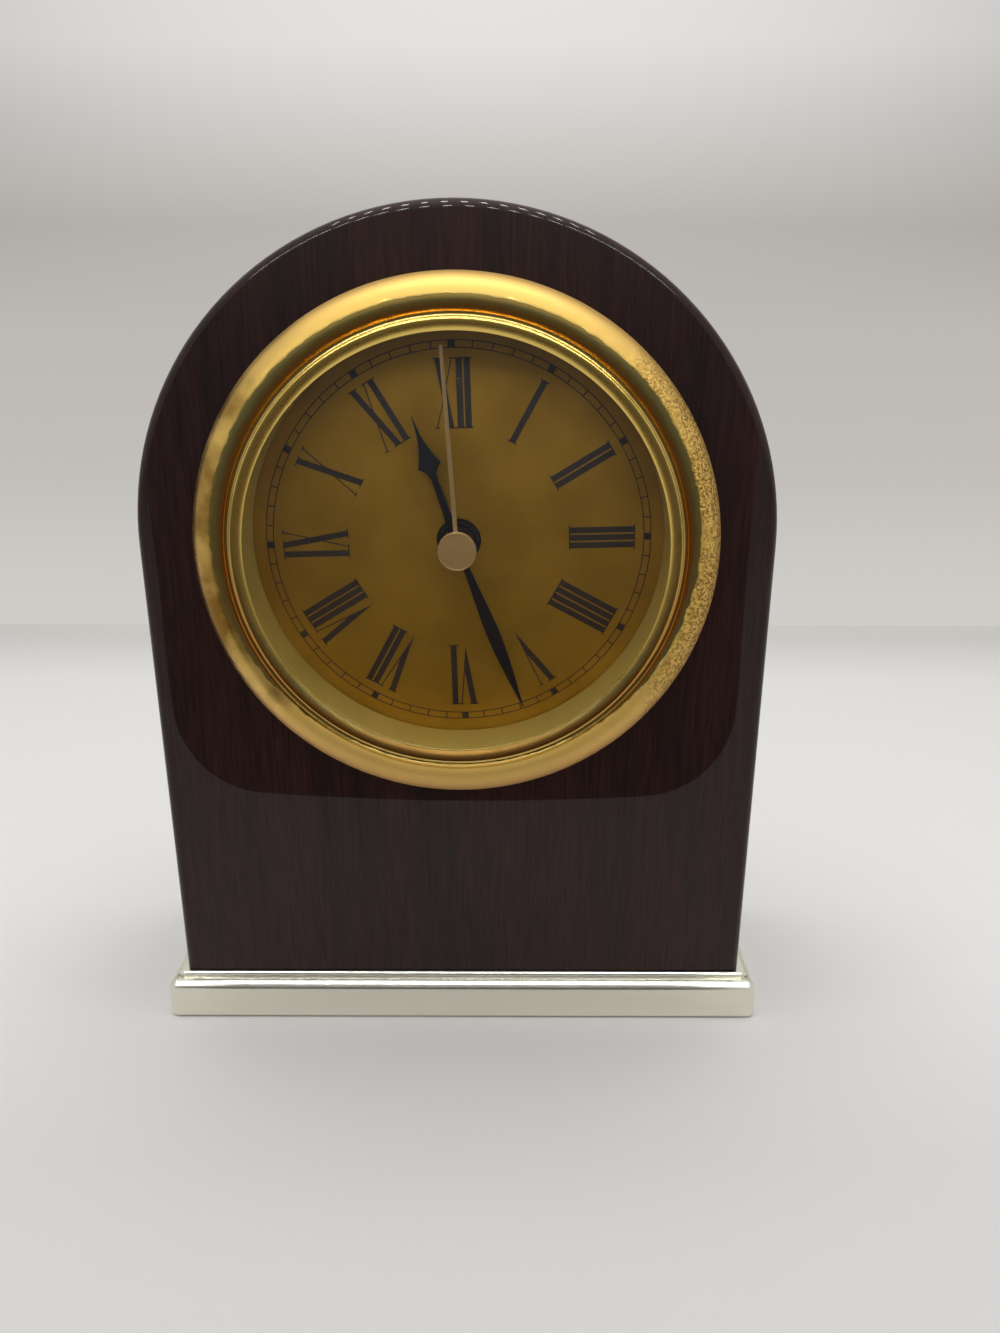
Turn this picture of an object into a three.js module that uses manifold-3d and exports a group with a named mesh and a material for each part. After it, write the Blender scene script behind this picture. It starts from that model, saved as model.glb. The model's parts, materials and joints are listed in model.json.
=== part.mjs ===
// Desk alarm clock: an arched wooden case on a stepped metal base. A round quartz alarm
// insert with a rolled bezel and a Roman dial sits in a bore through the case.
// Millimetres, +Z up, the dial faces -Y, and the base stands centred on the origin.

import * as THREE from 'three';
import { mergeVertices } from 'three/addons/utils/BufferGeometryUtils.js';
import Module from 'manifold-3d';

const wasm = await Module();
wasm.setup();

// Clearances
const SEAT = 0.3; // between pieces that rest on each other
const RUN = 0.2; // around a turning pipe, arbor or shaft
const LAP = 0.1; // of a pinion into its wheel

// Case
const CASE_WIDTH = 108;
const CASE_DEPTH = 38;
const CASE_SIDE = 84.4; // straight side below the arch
const CASE_EDGE = 1.5; // rounding of the front and back edges
const CASE_CORNER = 2; // corners of the blank, below its sawn foot
const INSERT_DROP = 0.35; // the insert sits this far below the arch centre

// Base
const SLAB_SIDE = 3.15; // the slab stands out past the case at each side
const SLAB_FRONT = 3; // and past its front and back
const SLAB_TOP = 7.7;
const SLAB_EDGE = 1.3;
const SLAB_CORNER = 1.5;
const TIER_SIDE = 1.8;
const TIER_FRONT = 0.8;
const TIER_RISE = 1;
const TIER_EDGE = 0.7;
const BASE_SHEET = 0.8;
const FELT_THICKNESS = 0.8;
const FELT_INSET = 0.6;
const RIM_LIFT = 0.4; // lower rim of the shell above the table
const BASE_SCREW_INSET = 18; // from each side of the case
const BASE_SCREW_SHANK = 1.8;
const BASE_SCREW_HEAD = 3.4;
const BASE_SCREW_BITE = 16; // depth of the screw in the case

// Insert: depths are counted backward from the front face of the case
const HOUSING_RADIUS = 38; // every ring of the insert follows it
const HOUSING_WALL = 1.2;
const RING_WALL = 0.75; // pale ring between the lens and the dial
const DIAL_DEPTH = 6.9;
const DIAL_THICKNESS = 0.5;
const DIAL_HOLE = 3.9;
const DIAL_LAP = 0.65; // dial under the pale ring
const LENS_FRONT = -3.9;
const LENS_THICKNESS = 1.4;
const LENS_LAP = 0.45; // lens over the pale ring
const PLATE_THICKNESS = 1.5;
const FLANGE_REACH = 4.9; // flange past the housing
const FLANGE_THICKNESS = 1.2;
const HOUSING_BACK = 26.8;
const COVER_THICKNESS = 1.4;
const GRIP_FRONT = 5;
const GRIP_WIDTH = 9;
const GRIP_THICKNESS = 0.45;

// Bezel: a pressed roll, a cove and a small inner bead
const ROLL_RADIUS = 4;
const ROLL_OFFSET = 2.0; // middle of the roll past the housing
const ROLL_DEPTH = -1;
const BEAD_RADIUS = 0.8;
const BEAD_OFFSET = 0.25; // middle of the bead past the pale ring's bore
const BEAD_DEPTH = -4.4;
const COVE_DEPTH = -3.95;
const BEZEL_SHEET = 0.6;

// Hands: clock angles in degrees, clockwise from twelve
const HOUR_ANGLE = 340.95;
const MINUTE_ANGLE = 158.65;
const SECOND_ANGLE = 356.16;
const ALARM_ANGLE = 340.95;
// from each tip to the pale ring
const HOUR_TIP = 12.95;
const MINUTE_TIP = 4.55;
const SECOND_TIP = 2.75;
const ALARM_TIP = 19.25;
// share of the reach and half width of the blade there
const HOUR_BLADE = [
  [0.07, 0.9], [0.522, 0.5], [0.623, 2], [0.75, 0.85], [0.846, 0.36], [1, 0.08],
];
const MINUTE_BLADE = [
  [0.038, 0.55], [0.154, 0.6], [0.353, 0.95], [0.545, 1.17], [0.737, 0.88], [0.917, 0.36], [1, 0.12],
];
const SECOND_BLADE = [[0.012, 0.36], [0.545, 0.34], [0.994, 0.28], [1, 0.2]];
const ALARM_BLADE = [[0.12, 0.45], [0.909, 0.4], [1, 0.1]];
const BLADE_THICKNESS = 0.35;
const CAP_RADIUS = 3.27;
const CAP_THICKNESS = 1;
const CAP_FRONT = -1.8;
const MINUTE_PLANE = 1.9;
const HOUR_PLANE = 3.7;
const ALARM_PLANE = 5.75;

// Centre pipes, from the inside outward
const SECOND_ARBOR = 0.45;
const PIPE_WALL = 0.5;
const MINUTE_BORE = SECOND_ARBOR + RUN;
const MINUTE_PIPE = MINUTE_BORE + PIPE_WALL;
const HOUR_BORE = MINUTE_PIPE + RUN;
const HOUR_PIPE = HOUR_BORE + PIPE_WALL;
const ALARM_BORE = HOUR_PIPE + RUN;
const ALARM_PIPE = ALARM_BORE + PIPE_WALL;
const BUSH_BORE = ALARM_PIPE + RUN;
const BUSH_RADIUS = DIAL_HOLE - SEAT;

// Wheels: each layer is one wheel deep, one step behind the layer in front
const WHEEL_FACE = 0.7;
const TRAIN_GAP = 0.4; // plate to the first layer
const LAYER_STEP = 1.15;
const ADDENDUM = 0.8;
const DEDENDUM = 1.25;
const ROOT_SHARE = 0.27; // half width of a tooth at its root, as a share of the tooth pitch
const TIP_SHARE = 0.1;
const WHEEL_FROM = 12; // fewer teeth make a pinion
const ARBOR = 0.35;
const STUD = 0.5;

const MOTION_DISTANCE = 8.4; // centre to minute wheel
const CANNON_TEETH = 10;
const MINUTE_WHEEL_TEETH = 30;
const MINUTE_PINION_TEETH = 8;
const HOUR_TEETH = 32;
const ALARM_TEETH = 32;
const IDLER_TEETH = 20;
const KNOB_PINION_TEETH = 10;

const THIRD_DISTANCE = 9; // centre to third wheel
const THIRD_ANGLE = 150;
const LEAF_TEETH = 6;
const THIRD_TEETH = 48;
const CENTRE_TEETH = 45;
const SECOND_TEETH = 30;
const INTERMEDIATE_TEETH = 36;
const INTERMEDIATE_DISTANCE = 6;
const INTERMEDIATE_ANGLE = 60;
const ROTOR_TEETH = 6;
const ROTOR_DISTANCE = 5.67; // intermediate wheel to rotor
const ROTOR_HUB = 0.5; // hub wall round the arbor
const MAGNET_RADIUS = 2.75;

// Movement frame
const BRIDGE_THICKNESS = 1;
const PILLAR_RADIUS = 1.5;
const PILLARS = [[-12.5, -6.9], [13.2, -6.9], [-12.5, 14]];
const SMALL_SCREW = 0.8;
const SMALL_HEAD = 1.7;
const SCREW_HEAD_HEIGHT = 1;
const COVER_SCREW_ANGLES = [25, 155, 270];
const COVER_SCREW_INSET = 3.4; // from the housing's bore
const COVER_BOSS = 2.4;
const SOUND_HOLE = 0.9;
const SOUND_CIRCLE = 3.6;

// Coil and stator
const STATOR_THICKNESS = 0.7;
const COIL_LEFT = -5;
const COIL_RIGHT = 12;
const COIL_DROP = 9; // below the board's upper edge
const COIL_RADIUS = 2.9;
const BOBBIN_FLANGE = 0.6;
const BOBBIN_WALL = 0.3;
const BOBBIN_RIM = 0.2; // flange past the winding
const CORE_WIDTH = 2;
const CORE_THICKNESS = 0.8;
const STATOR_LEG = 3.5;

// Circuit
const BOARD_LEFT = -9.8;
const BOARD_RIGHT = 13;
const BOARD_LOW = 9;
const BOARD_THICKNESS = 1;
const BOARD_GAP = 0.6; // bridge to the board
const POST_INSET = 2; // posts from the board's upper edge
const CHIP_WIDTH = 6;
const CHIP_HEIGHT = 5;
const CHIP_LIFT = 4; // over the board's lower edge
const CAN_RADIUS = 0.95;
const BUZZER_RADIUS = 9;
const BUZZER_DROP = 13; // buzzer below the alarm switch
const BUZZER_THICKNESS = 2.4;
const LEAF_SHEET = 0.3; // switch contact

// Battery bay for one AAA cell
const CELL_RADIUS = 5.25;
const CELL_LENGTH = 44.5;
const CELL_NUB = 0.8;
const CELL_HEIGHT = -16.7;
const BAY_WALL = 1;
const BAY_END = 2.3; // room for a contact at each end of the cell
const SPRING_RADIUS = 3.2;
const SPRING_WIRE = 0.35;
const CONTACT = 0.4;
const DOOR_THICKNESS = 1.1;

// Knobs and switch
const KNOB_RADIUS = 5.5;
const KNOB_LENGTH = 4.8;
const KNOB_RIBS = 12;
const KNOB_SHAFT = 0.8;
const SWITCH_DROP = 3.4; // below the circle of the cover screws
const SWITCH_TRAVEL = 4;
const SWITCH_WIDTH = 3.8;
const SWITCH_TALL = 2.8;

const FULL = 48; // facets round the large rings
const GRIP_FACETS = 30;
const MIDDLING = 24; // facets round the cell, coil and buzzer
const FINE = 12; // facets round the pipes
const COARSE = 8; // facets round posts, screws and arbors

// Places worked out from the sizes above
const CASE_BOTTOM = SLAB_TOP + TIER_RISE + SEAT;
const ARCH_HEIGHT = CASE_BOTTOM + CASE_SIDE;
const CASE_FRONT = -CASE_DEPTH / 2;
const BASE_SCREW_SPREAD = CASE_WIDTH / 2 - BASE_SCREW_INSET;
const DIAL_AXIS = ARCH_HEIGHT - INSERT_DROP;
const BORE_RADIUS = HOUSING_RADIUS + SEAT + GRIP_THICKNESS + SEAT;
const HOUSING_BORE = HOUSING_RADIUS - HOUSING_WALL;
const RING_INNER = HOUSING_BORE - SEAT - RING_WALL;
const DIAL_RADIUS = RING_INNER + DIAL_LAP;
const LENS_RADIUS = RING_INNER + LENS_LAP;
const FLANGE_RADIUS = HOUSING_RADIUS + FLANGE_REACH;
const ROLL_CENTRE = HOUSING_RADIUS + ROLL_OFFSET;
const BEAD_CENTRE = RING_INNER + BEAD_OFFSET;
const PLATE_FRONT = DIAL_DEPTH + DIAL_THICKNESS + SEAT;
const PLATE_BACK = PLATE_FRONT + PLATE_THICKNESS;
const COVER_BACK = HOUSING_BACK;
const COVER_FRONT = COVER_BACK - COVER_THICKNESS;
const layer = (n) => PLATE_BACK + TRAIN_GAP + LAYER_STEP * n; // front of wheel layer n
const ALARM_LAYER = layer(0);
const HOUR_LAYER = layer(1);
const MINUTE_LAYER = layer(2);
const CENTRE_LAYER = layer(3);
const THIRD_LAYER = layer(4);
const SECOND_LAYER = layer(5);
const INTERMEDIATE_LAYER = layer(6);
const BRIDGE_FRONT = layer(7);
const BRIDGE_BACK = BRIDGE_FRONT + BRIDGE_THICKNESS;
const COVER_SCREW_CIRCLE = HOUSING_BORE - COVER_SCREW_INSET;
const SWITCH_HEIGHT = COVER_SCREW_CIRCLE - SWITCH_DROP;
const BUZZER_HEIGHT = SWITCH_HEIGHT - BUZZER_DROP;
const BOARD_HIGH = SWITCH_HEIGHT + 1;
const COIL_HEIGHT = BOARD_HIGH - COIL_DROP;
const BOARD_FRONT = BRIDGE_BACK + BOARD_GAP;
const BOARD_BACK = BOARD_FRONT + BOARD_THICKNESS;
const BOARD_POSTS = [
  [BOARD_LEFT + POST_INSET, BOARD_HIGH - POST_INSET],
  [BOARD_RIGHT - POST_INSET, BOARD_HIGH - POST_INSET],
];
const CELL_AXIS = COVER_BACK - DOOR_THICKNESS - SEAT - CELL_RADIUS;
const BAY_LEFT = CELL_LENGTH / 2 + BAY_END;
const BAY_HIGH = CELL_HEIGHT + CELL_RADIUS + SEAT;
const BAY_LOW = CELL_HEIGHT - CELL_RADIUS - SEAT;
const BAY_FRONT = CELL_AXIS - CELL_RADIUS - SEAT;
const COVER_RADIUS = HOUSING_BORE - SEAT;
const BAY_CIRCLE = COVER_RADIUS - BAY_WALL;

const polar = (distance, degrees) => [
  distance * Math.cos((degrees * Math.PI) / 180),
  distance * Math.sin((degrees * Math.PI) / 180),
];
const MINUTE_WHEEL_PLACE = [MOTION_DISTANCE, 0];
const CANNON_MODULE = (2 * MOTION_DISTANCE) / (CANNON_TEETH + MINUTE_WHEEL_TEETH);
const ALARM_MODULE = (2 * MOTION_DISTANCE) / (MINUTE_PINION_TEETH + HOUR_TEETH);
const spaced = (module, teeth, otherTeeth) => (module * (teeth + otherTeeth)) / 2;
const TIME_KNOB_DISTANCE = MOTION_DISTANCE + spaced(CANNON_MODULE, MINUTE_WHEEL_TEETH, KNOB_PINION_TEETH);
const TIME_KNOB_PLACE = [TIME_KNOB_DISTANCE, 0];
const IDLER_DISTANCE = spaced(ALARM_MODULE, ALARM_TEETH, IDLER_TEETH);
const IDLER_PLACE = [-IDLER_DISTANCE, 0];
const ALARM_KNOB_PLACE = [-IDLER_DISTANCE - spaced(ALARM_MODULE, IDLER_TEETH, KNOB_PINION_TEETH), 0];
const THIRD_PLACE = polar(THIRD_DISTANCE, THIRD_ANGLE);
const INTERMEDIATE_PLACE = polar(INTERMEDIATE_DISTANCE, INTERMEDIATE_ANGLE);
const ROTOR_PLACE = polar(INTERMEDIATE_DISTANCE + ROTOR_DISTANCE, INTERMEDIATE_ANGLE);

// Finishes
const finish = (color, roughness, metalness, extra = {}) =>
  new THREE.MeshStandardMaterial({ color, roughness, metalness, ...extra });
const ROSEWOOD = finish(0x2a1512, 0.12, 0);
const SILVER = finish(0xc0bfb4, 0.22, 1);
const GOLD = finish(0xd9b45c, 0.12, 1);
const DIAL_GOLD = finish(0xa8873f, 0.4, 1);
const CREAM = finish(0xb5a36c, 0.45, 0.3);
const GLASS = finish(0xffffff, 0.02, 0, { transparent: true, opacity: 0.2 });
const BLACK = finish(0x101010, 0.35, 0.2);
const BLACK_PLASTIC = finish(0x17171a, 0.5, 0);
const WHITE_PLASTIC = finish(0xe8e6de, 0.5, 0);
const GREY_PLASTIC = finish(0xb8b8b8, 0.5, 0);
const CELL_JACKET = finish(0x3a3f47, 0.4, 0.4);
const BRASS = finish(0xb8923f, 0.3, 1);
const STEEL = finish(0x9a9a9c, 0.35, 1);
const COPPER = finish(0xb26a3c, 0.35, 1);
const BOARD_GREEN = finish(0x1f5a35, 0.6, 0);
const FELT = finish(0x1c3a2a, 0.95, 0);
const FIBREBOARD = finish(0x9a7b55, 0.9, 0);
const RUBBER = finish(0x1b1b1b, 0.85, 0);

// Closed solid from a geometry: welded, without empty triangles, facing outward
function solid(geometry) {
  const bare = geometry.index ? geometry.clone() : mergeVertices(geometry);
  bare.deleteAttribute('normal');
  bare.deleteAttribute('uv');
  const welded = mergeVertices(bare, 1e-4);
  const place = welded.getAttribute('position');
  const corner = (i) => new THREE.Vector3().fromBufferAttribute(place, i);
  const triangles = [];
  let volume = 0;
  for (let i = 0; i < welded.index.count; i += 3) {
    const [a, b, c] = [0, 1, 2].map((k) => welded.index.getX(i + k));
    if (a !== b && b !== c && c !== a) {
      triangles.push(a, b, c);
      volume += corner(a).dot(corner(b).cross(corner(c)));
    }
  }
  if (volume < 0) triangles.reverse();
  const mesh = new wasm.Mesh({
    numProp: 3,
    vertProperties: new Float32Array(place.array),
    triVerts: new Uint32Array(triangles),
  });
  return new wasm.Manifold(mesh);
}

const joined = (...solids) => solids.reduce((whole, next) => whole.add(next));
const cut = (body, ...tools) => tools.reduce((whole, next) => whole.subtract(next), body);
const moved = (body, x, y, z) => body.translate([x, y, z]);
const outlineOf = (points) => points.map(([x, z]) => new THREE.Vector2(x, z));

// Turned shape about the Y axis from points of radius and depth
function turned(points, facets = FULL) {
  return solid(new THREE.LatheGeometry(points.map(([r, y]) => new THREE.Vector2(r, y)), facets));
}

function tube(inner, outer, front, back, facets = FINE) {
  return turned([[inner, front], [outer, front], [outer, back], [inner, back], [inner, front]], facets);
}

function rod(radius, front, back, facets = COARSE) {
  const geometry = new THREE.CylinderGeometry(radius, radius, back - front, facets);
  return solid(geometry.translate(0, (front + back) / 2, 0));
}

function box(x0, x1, y0, y1, z0, z1) {
  const geometry = new THREE.BoxGeometry(x1 - x0, y1 - y0, z1 - z0);
  return solid(geometry.translate((x0 + x1) / 2, (y0 + y1) / 2, (z0 + z1) / 2));
}

// Flat outline in X and Z, drawn as seen from the front, between two depths
function sheet(points, front, back, holes = []) {
  const shape = new THREE.Shape(outlineOf(points));
  for (const [x, z, radius] of holes) {
    shape.holes.push(new THREE.Path(outlineOf(ringPoints(x, z, radius, COARSE))));
  }
  const geometry = new THREE.ExtrudeGeometry(shape, { depth: back - front, bevelEnabled: false });
  return solid(geometry.rotateX(Math.PI / 2).translate(0, back, 0));
}

// Points along an arc, both ends included
function arc(x, z, radius, from, to, steps) {
  const points = [];
  for (let i = 0; i <= steps; i += 1) {
    const [dx, dz] = polar(radius, from + ((to - from) * i) / steps);
    points.push([x + dx, z + dz]);
  }
  return points;
}

function ringPoints(x, z, radius, steps) {
  return arc(x, z, radius, 0, 360, steps).slice(0, -1);
}

function roundedRectangle(halfX, halfY, radius, steps = 3) {
  return [
    ...arc(halfX - radius, halfY - radius, radius, 0, 90, steps),
    ...arc(radius - halfX, halfY - radius, radius, 90, 180, steps),
    ...arc(radius - halfX, radius - halfY, radius, 180, 270, steps),
    ...arc(halfX - radius, radius - halfY, radius, 270, 360, steps),
  ];
}

// Upright block with rounded corners and a rounded upper edge
function cushionBlock(halfX, halfY, bottom, top, corner, edge) {
  const outline = new THREE.Shape(outlineOf(roundedRectangle(halfX, halfY, corner)));
  const geometry = new THREE.ExtrudeGeometry(outline, {
    depth: top - bottom - edge,
    bevelThickness: edge,
    bevelSize: edge,
    bevelOffset: -edge,
    bevelSegments: 3,
  });
  const whole = solid(geometry.translate(0, 0, bottom));
  const low = Math.min(bottom, 0) - edge - 1;
  return whole.subtract(box(-halfX - 1, halfX + 1, -halfY - 1, halfY + 1, low, bottom));
}

// Toothed outline with one tooth centred on the phase angle: blunt leaves on a pinion,
// pointed teeth on a wheel
function toothed(teeth, module, front, back, phase = 0) {
  const tip = module * (teeth / 2 + ADDENDUM);
  const root = module * (teeth / 2 - DEDENDUM);
  const pitch = 360 / teeth;
  const points = [];
  for (let i = 0; i < teeth; i += 1) {
    const middle = phase + i * pitch;
    points.push(polar(root, middle - ROOT_SHARE * pitch));
    if (teeth < WHEEL_FROM) {
      points.push(polar(tip, middle - TIP_SHARE * pitch));
      points.push(polar(tip, middle + TIP_SHARE * pitch));
    } else {
      points.push(polar(tip, middle));
    }
    points.push(polar(root, middle + ROOT_SHARE * pitch));
  }
  return sheet(points, front, back);
}

// Phase of a wheel in mesh with another one, which lies opposite to the given direction
function meshed(teeth, direction, otherTeeth, otherPhase) {
  const pitch = 360 / otherTeeth;
  const past = (((direction - otherPhase) % pitch) + pitch) % pitch;
  return direction + 180 + (past * otherTeeth + 180) / teeth;
}
const MINUTE_WHEEL_PHASE = meshed(MINUTE_WHEEL_TEETH, 0, CANNON_TEETH, 0);
const IDLER_PHASE = meshed(IDLER_TEETH, 180, ALARM_TEETH, 0);

const object = new THREE.Group();
const insert = new THREE.Group();
insert.position.set(0, CASE_FRONT, DIAL_AXIS);
object.add(insert);

function piece(parent, name, body, material, x = 0, z = 0) {
  const { vertProperties, triVerts } = body.getMesh();
  const geometry = new THREE.BufferGeometry();
  geometry.setAttribute('position', new THREE.BufferAttribute(new Float32Array(vertProperties), 3));
  geometry.setIndex(new THREE.BufferAttribute(new Uint32Array(triVerts), 1));
  geometry.computeVertexNormals();
  const mesh = new THREE.Mesh(geometry, material.clone());
  mesh.name = name;
  mesh.position.set(x, 0, z);
  parent.add(mesh);
}

// Arched wooden block with softened edges, bored through for the insert
function woodCase() {
  const half = CASE_WIDTH / 2;
  const outline = [
    ...arc(half - CASE_CORNER, 0, CASE_CORNER, 270, 360, 1),
    ...arc(0, ARCH_HEIGHT, half, 0, 180, 32),
    ...arc(CASE_CORNER - half, 0, CASE_CORNER, 180, 270, 1),
  ];
  const geometry = new THREE.ExtrudeGeometry(new THREE.Shape(outlineOf(outline)), {
    depth: CASE_DEPTH - 2 * CASE_EDGE,
    bevelThickness: CASE_EDGE,
    bevelSize: CASE_EDGE,
    bevelOffset: -CASE_EDGE,
    bevelSegments: 3,
  });
  geometry.rotateX(Math.PI / 2).translate(0, CASE_DEPTH / 2 - CASE_EDGE, 0);
  const bore = rod(BORE_RADIUS, -CASE_DEPTH, CASE_DEPTH, FULL);
  const pilots = [-1, 1].map((side) => {
    const hole = rod(BASE_SCREW_SHANK + RUN, -1, BASE_SCREW_BITE + 1).rotate([90, 0, 0]);
    return moved(hole, side * BASE_SCREW_SPREAD, 0, CASE_BOTTOM);
  });
  const sawn = box(-CASE_WIDTH, CASE_WIDTH, -CASE_DEPTH, CASE_DEPTH, -CASE_BOTTOM, CASE_BOTTOM);
  return cut(solid(geometry), sawn, moved(bore, 0, 0, DIAL_AXIS), ...pilots);
}

// Stepped base: a pressed shell over a fibreboard core, a felt pad and two screws
function base() {
  const slabX = CASE_WIDTH / 2 + SLAB_SIDE;
  const slabY = CASE_DEPTH / 2 + SLAB_FRONT;
  const tierX = CASE_WIDTH / 2 + TIER_SIDE;
  const tierY = CASE_DEPTH / 2 + TIER_FRONT;
  const tierTop = SLAB_TOP + TIER_RISE;
  const slab = cushionBlock(slabX, slabY, RIM_LIFT, SLAB_TOP, SLAB_CORNER, SLAB_EDGE);
  const tier = cushionBlock(tierX, tierY, SLAB_TOP - 2, tierTop, SLAB_CORNER, TIER_EDGE);
  const hollowX = slabX - BASE_SHEET;
  const hollowY = slabY - BASE_SHEET;
  const hollow = cushionBlock(hollowX, hollowY, -1, SLAB_TOP - BASE_SHEET, SLAB_CORNER, SLAB_EDGE);
  const pocketX = tierX - BASE_SHEET;
  const pocketY = tierY - BASE_SHEET;
  const pocket = cushionBlock(pocketX, pocketY, 2, tierTop - BASE_SHEET, SLAB_CORNER, TIER_EDGE);
  const holes = [-1, 1].map((side) => {
    const hole = rod(BASE_SCREW_SHANK + RUN, 0, tierTop + 2).rotate([90, 0, 0]);
    return moved(hole, side * BASE_SCREW_SPREAD, 0, 0);
  });
  piece(object, 'base_shell', cut(joined(slab, tier), hollow, pocket, ...holes), SILVER);

  const coreTop = SLAB_TOP - BASE_SHEET - SEAT;
  const coreLow = FELT_THICKNESS + SEAT;
  const coreOutline = roundedRectangle(hollowX - SEAT, hollowY - SEAT, SLAB_CORNER, 1);
  const core = sheet(coreOutline, coreLow, coreTop - SLAB_EDGE).rotate([90, 0, 0]);
  const riserX = pocketX - TIER_EDGE;
  const riserY = pocketY - TIER_EDGE;
  const riser = box(-riserX, riserX, -riserY, riserY, coreTop - SLAB_EDGE - 1, tierTop - BASE_SHEET - SEAT);
  const sinks = [-1, 1].map((side) => {
    const sink = rod(BASE_SCREW_HEAD + SEAT, 0, coreLow + 2 + SEAT).rotate([90, 0, 0]);
    return moved(sink, side * BASE_SCREW_SPREAD, 0, 0);
  });
  piece(object, 'base_core', cut(joined(core, riser), ...holes, ...sinks), FIBREBOARD);

  const pad = roundedRectangle(hollowX - FELT_INSET, hollowY - FELT_INSET, SLAB_CORNER);
  piece(object, 'base_felt', sheet(pad, 0, FELT_THICKNESS).rotate([90, 0, 0]), FELT);

  const headTop = coreLow + 2;
  for (const [name, side] of [['base_screw_left', -1], ['base_screw_right', 1]]) {
    const screw = turned([
      [0, coreLow], [BASE_SCREW_HEAD, coreLow], [BASE_SCREW_HEAD, headTop - 1], [BASE_SCREW_SHANK, headTop],
      [BASE_SCREW_SHANK, CASE_BOTTOM + BASE_SCREW_BITE - 2], [0, CASE_BOTTOM + BASE_SCREW_BITE],
    ], COARSE);
    const slot = box(-BASE_SCREW_HEAD, BASE_SCREW_HEAD, coreLow - 1, coreLow + 0.8, -0.5, 0.5);
    piece(object, name, cut(screw, slot).rotate([90, 0, 0]), STEEL, side * BASE_SCREW_SPREAD);
  }
}

// Pressed bezel: outer roll, dark cove and inner bead, hollow behind
function bezel() {
  const onRoll = (radius, degrees) => {
    const [dr, dy] = polar(radius, degrees);
    return [ROLL_CENTRE + dr, ROLL_DEPTH - dy];
  };
  const onBead = (degrees) => {
    const [dr, dy] = polar(BEAD_RADIUS, degrees);
    return [BEAD_CENTRE + dr, BEAD_DEPTH - dy];
  };
  const steps = (from, to, count, at) =>
    Array.from({ length: count + 1 }, (_, i) => at(from + ((to - from) * i) / count));
  const foot = -Math.asin((-SEAT - ROLL_DEPTH) / ROLL_RADIUS) * (180 / Math.PI);
  const innerFoot = ROLL_CENTRE + ROLL_RADIUS - BEZEL_SHEET;
  const coveBack = COVE_DEPTH + BEZEL_SHEET;
  const profile = [
    ...steps(foot, 105, 6, (a) => onRoll(ROLL_RADIUS, a)),
    [ROLL_CENTRE - 1.55, -4.45],
    [ROLL_CENTRE - 2, COVE_DEPTH - 0.07],
    [BEAD_CENTRE + BEAD_RADIUS + 0.2, COVE_DEPTH],
    ...steps(0, 180, 4, onBead),
    [BEAD_CENTRE - BEAD_RADIUS, LENS_FRONT - SEAT],
    [LENS_RADIUS + SEAT, LENS_FRONT - SEAT],
    [LENS_RADIUS + SEAT, coveBack],
    [ROLL_CENTRE - 1.9, coveBack],
    ...steps(112, 10, 2, (a) => onRoll(ROLL_RADIUS - BEZEL_SHEET, a)),
    [innerFoot, -SEAT],
  ];
  profile.push(profile[0]);
  piece(insert, 'bezel', turned(profile), GOLD);
}

function lensAndDial() {
  const lensBack = LENS_FRONT + LENS_THICKNESS;
  const lens = turned([
    [0, LENS_FRONT], [LENS_RADIUS - 0.3, LENS_FRONT], [LENS_RADIUS, LENS_FRONT + 0.3],
    [LENS_RADIUS, lensBack], [0, lensBack],
  ]);
  piece(insert, 'lens', lens, GLASS);
  const ringOuter = HOUSING_BORE - SEAT;
  piece(insert, 'dial_ring', tube(RING_INNER, ringOuter, lensBack + SEAT, DIAL_DEPTH - SEAT, FULL), CREAM);
  const dialBack = DIAL_DEPTH + DIAL_THICKNESS;
  piece(insert, 'dial', tube(DIAL_HOLE, DIAL_RADIUS, DIAL_DEPTH, dialBack, FULL), DIAL_GOLD);
}

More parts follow.
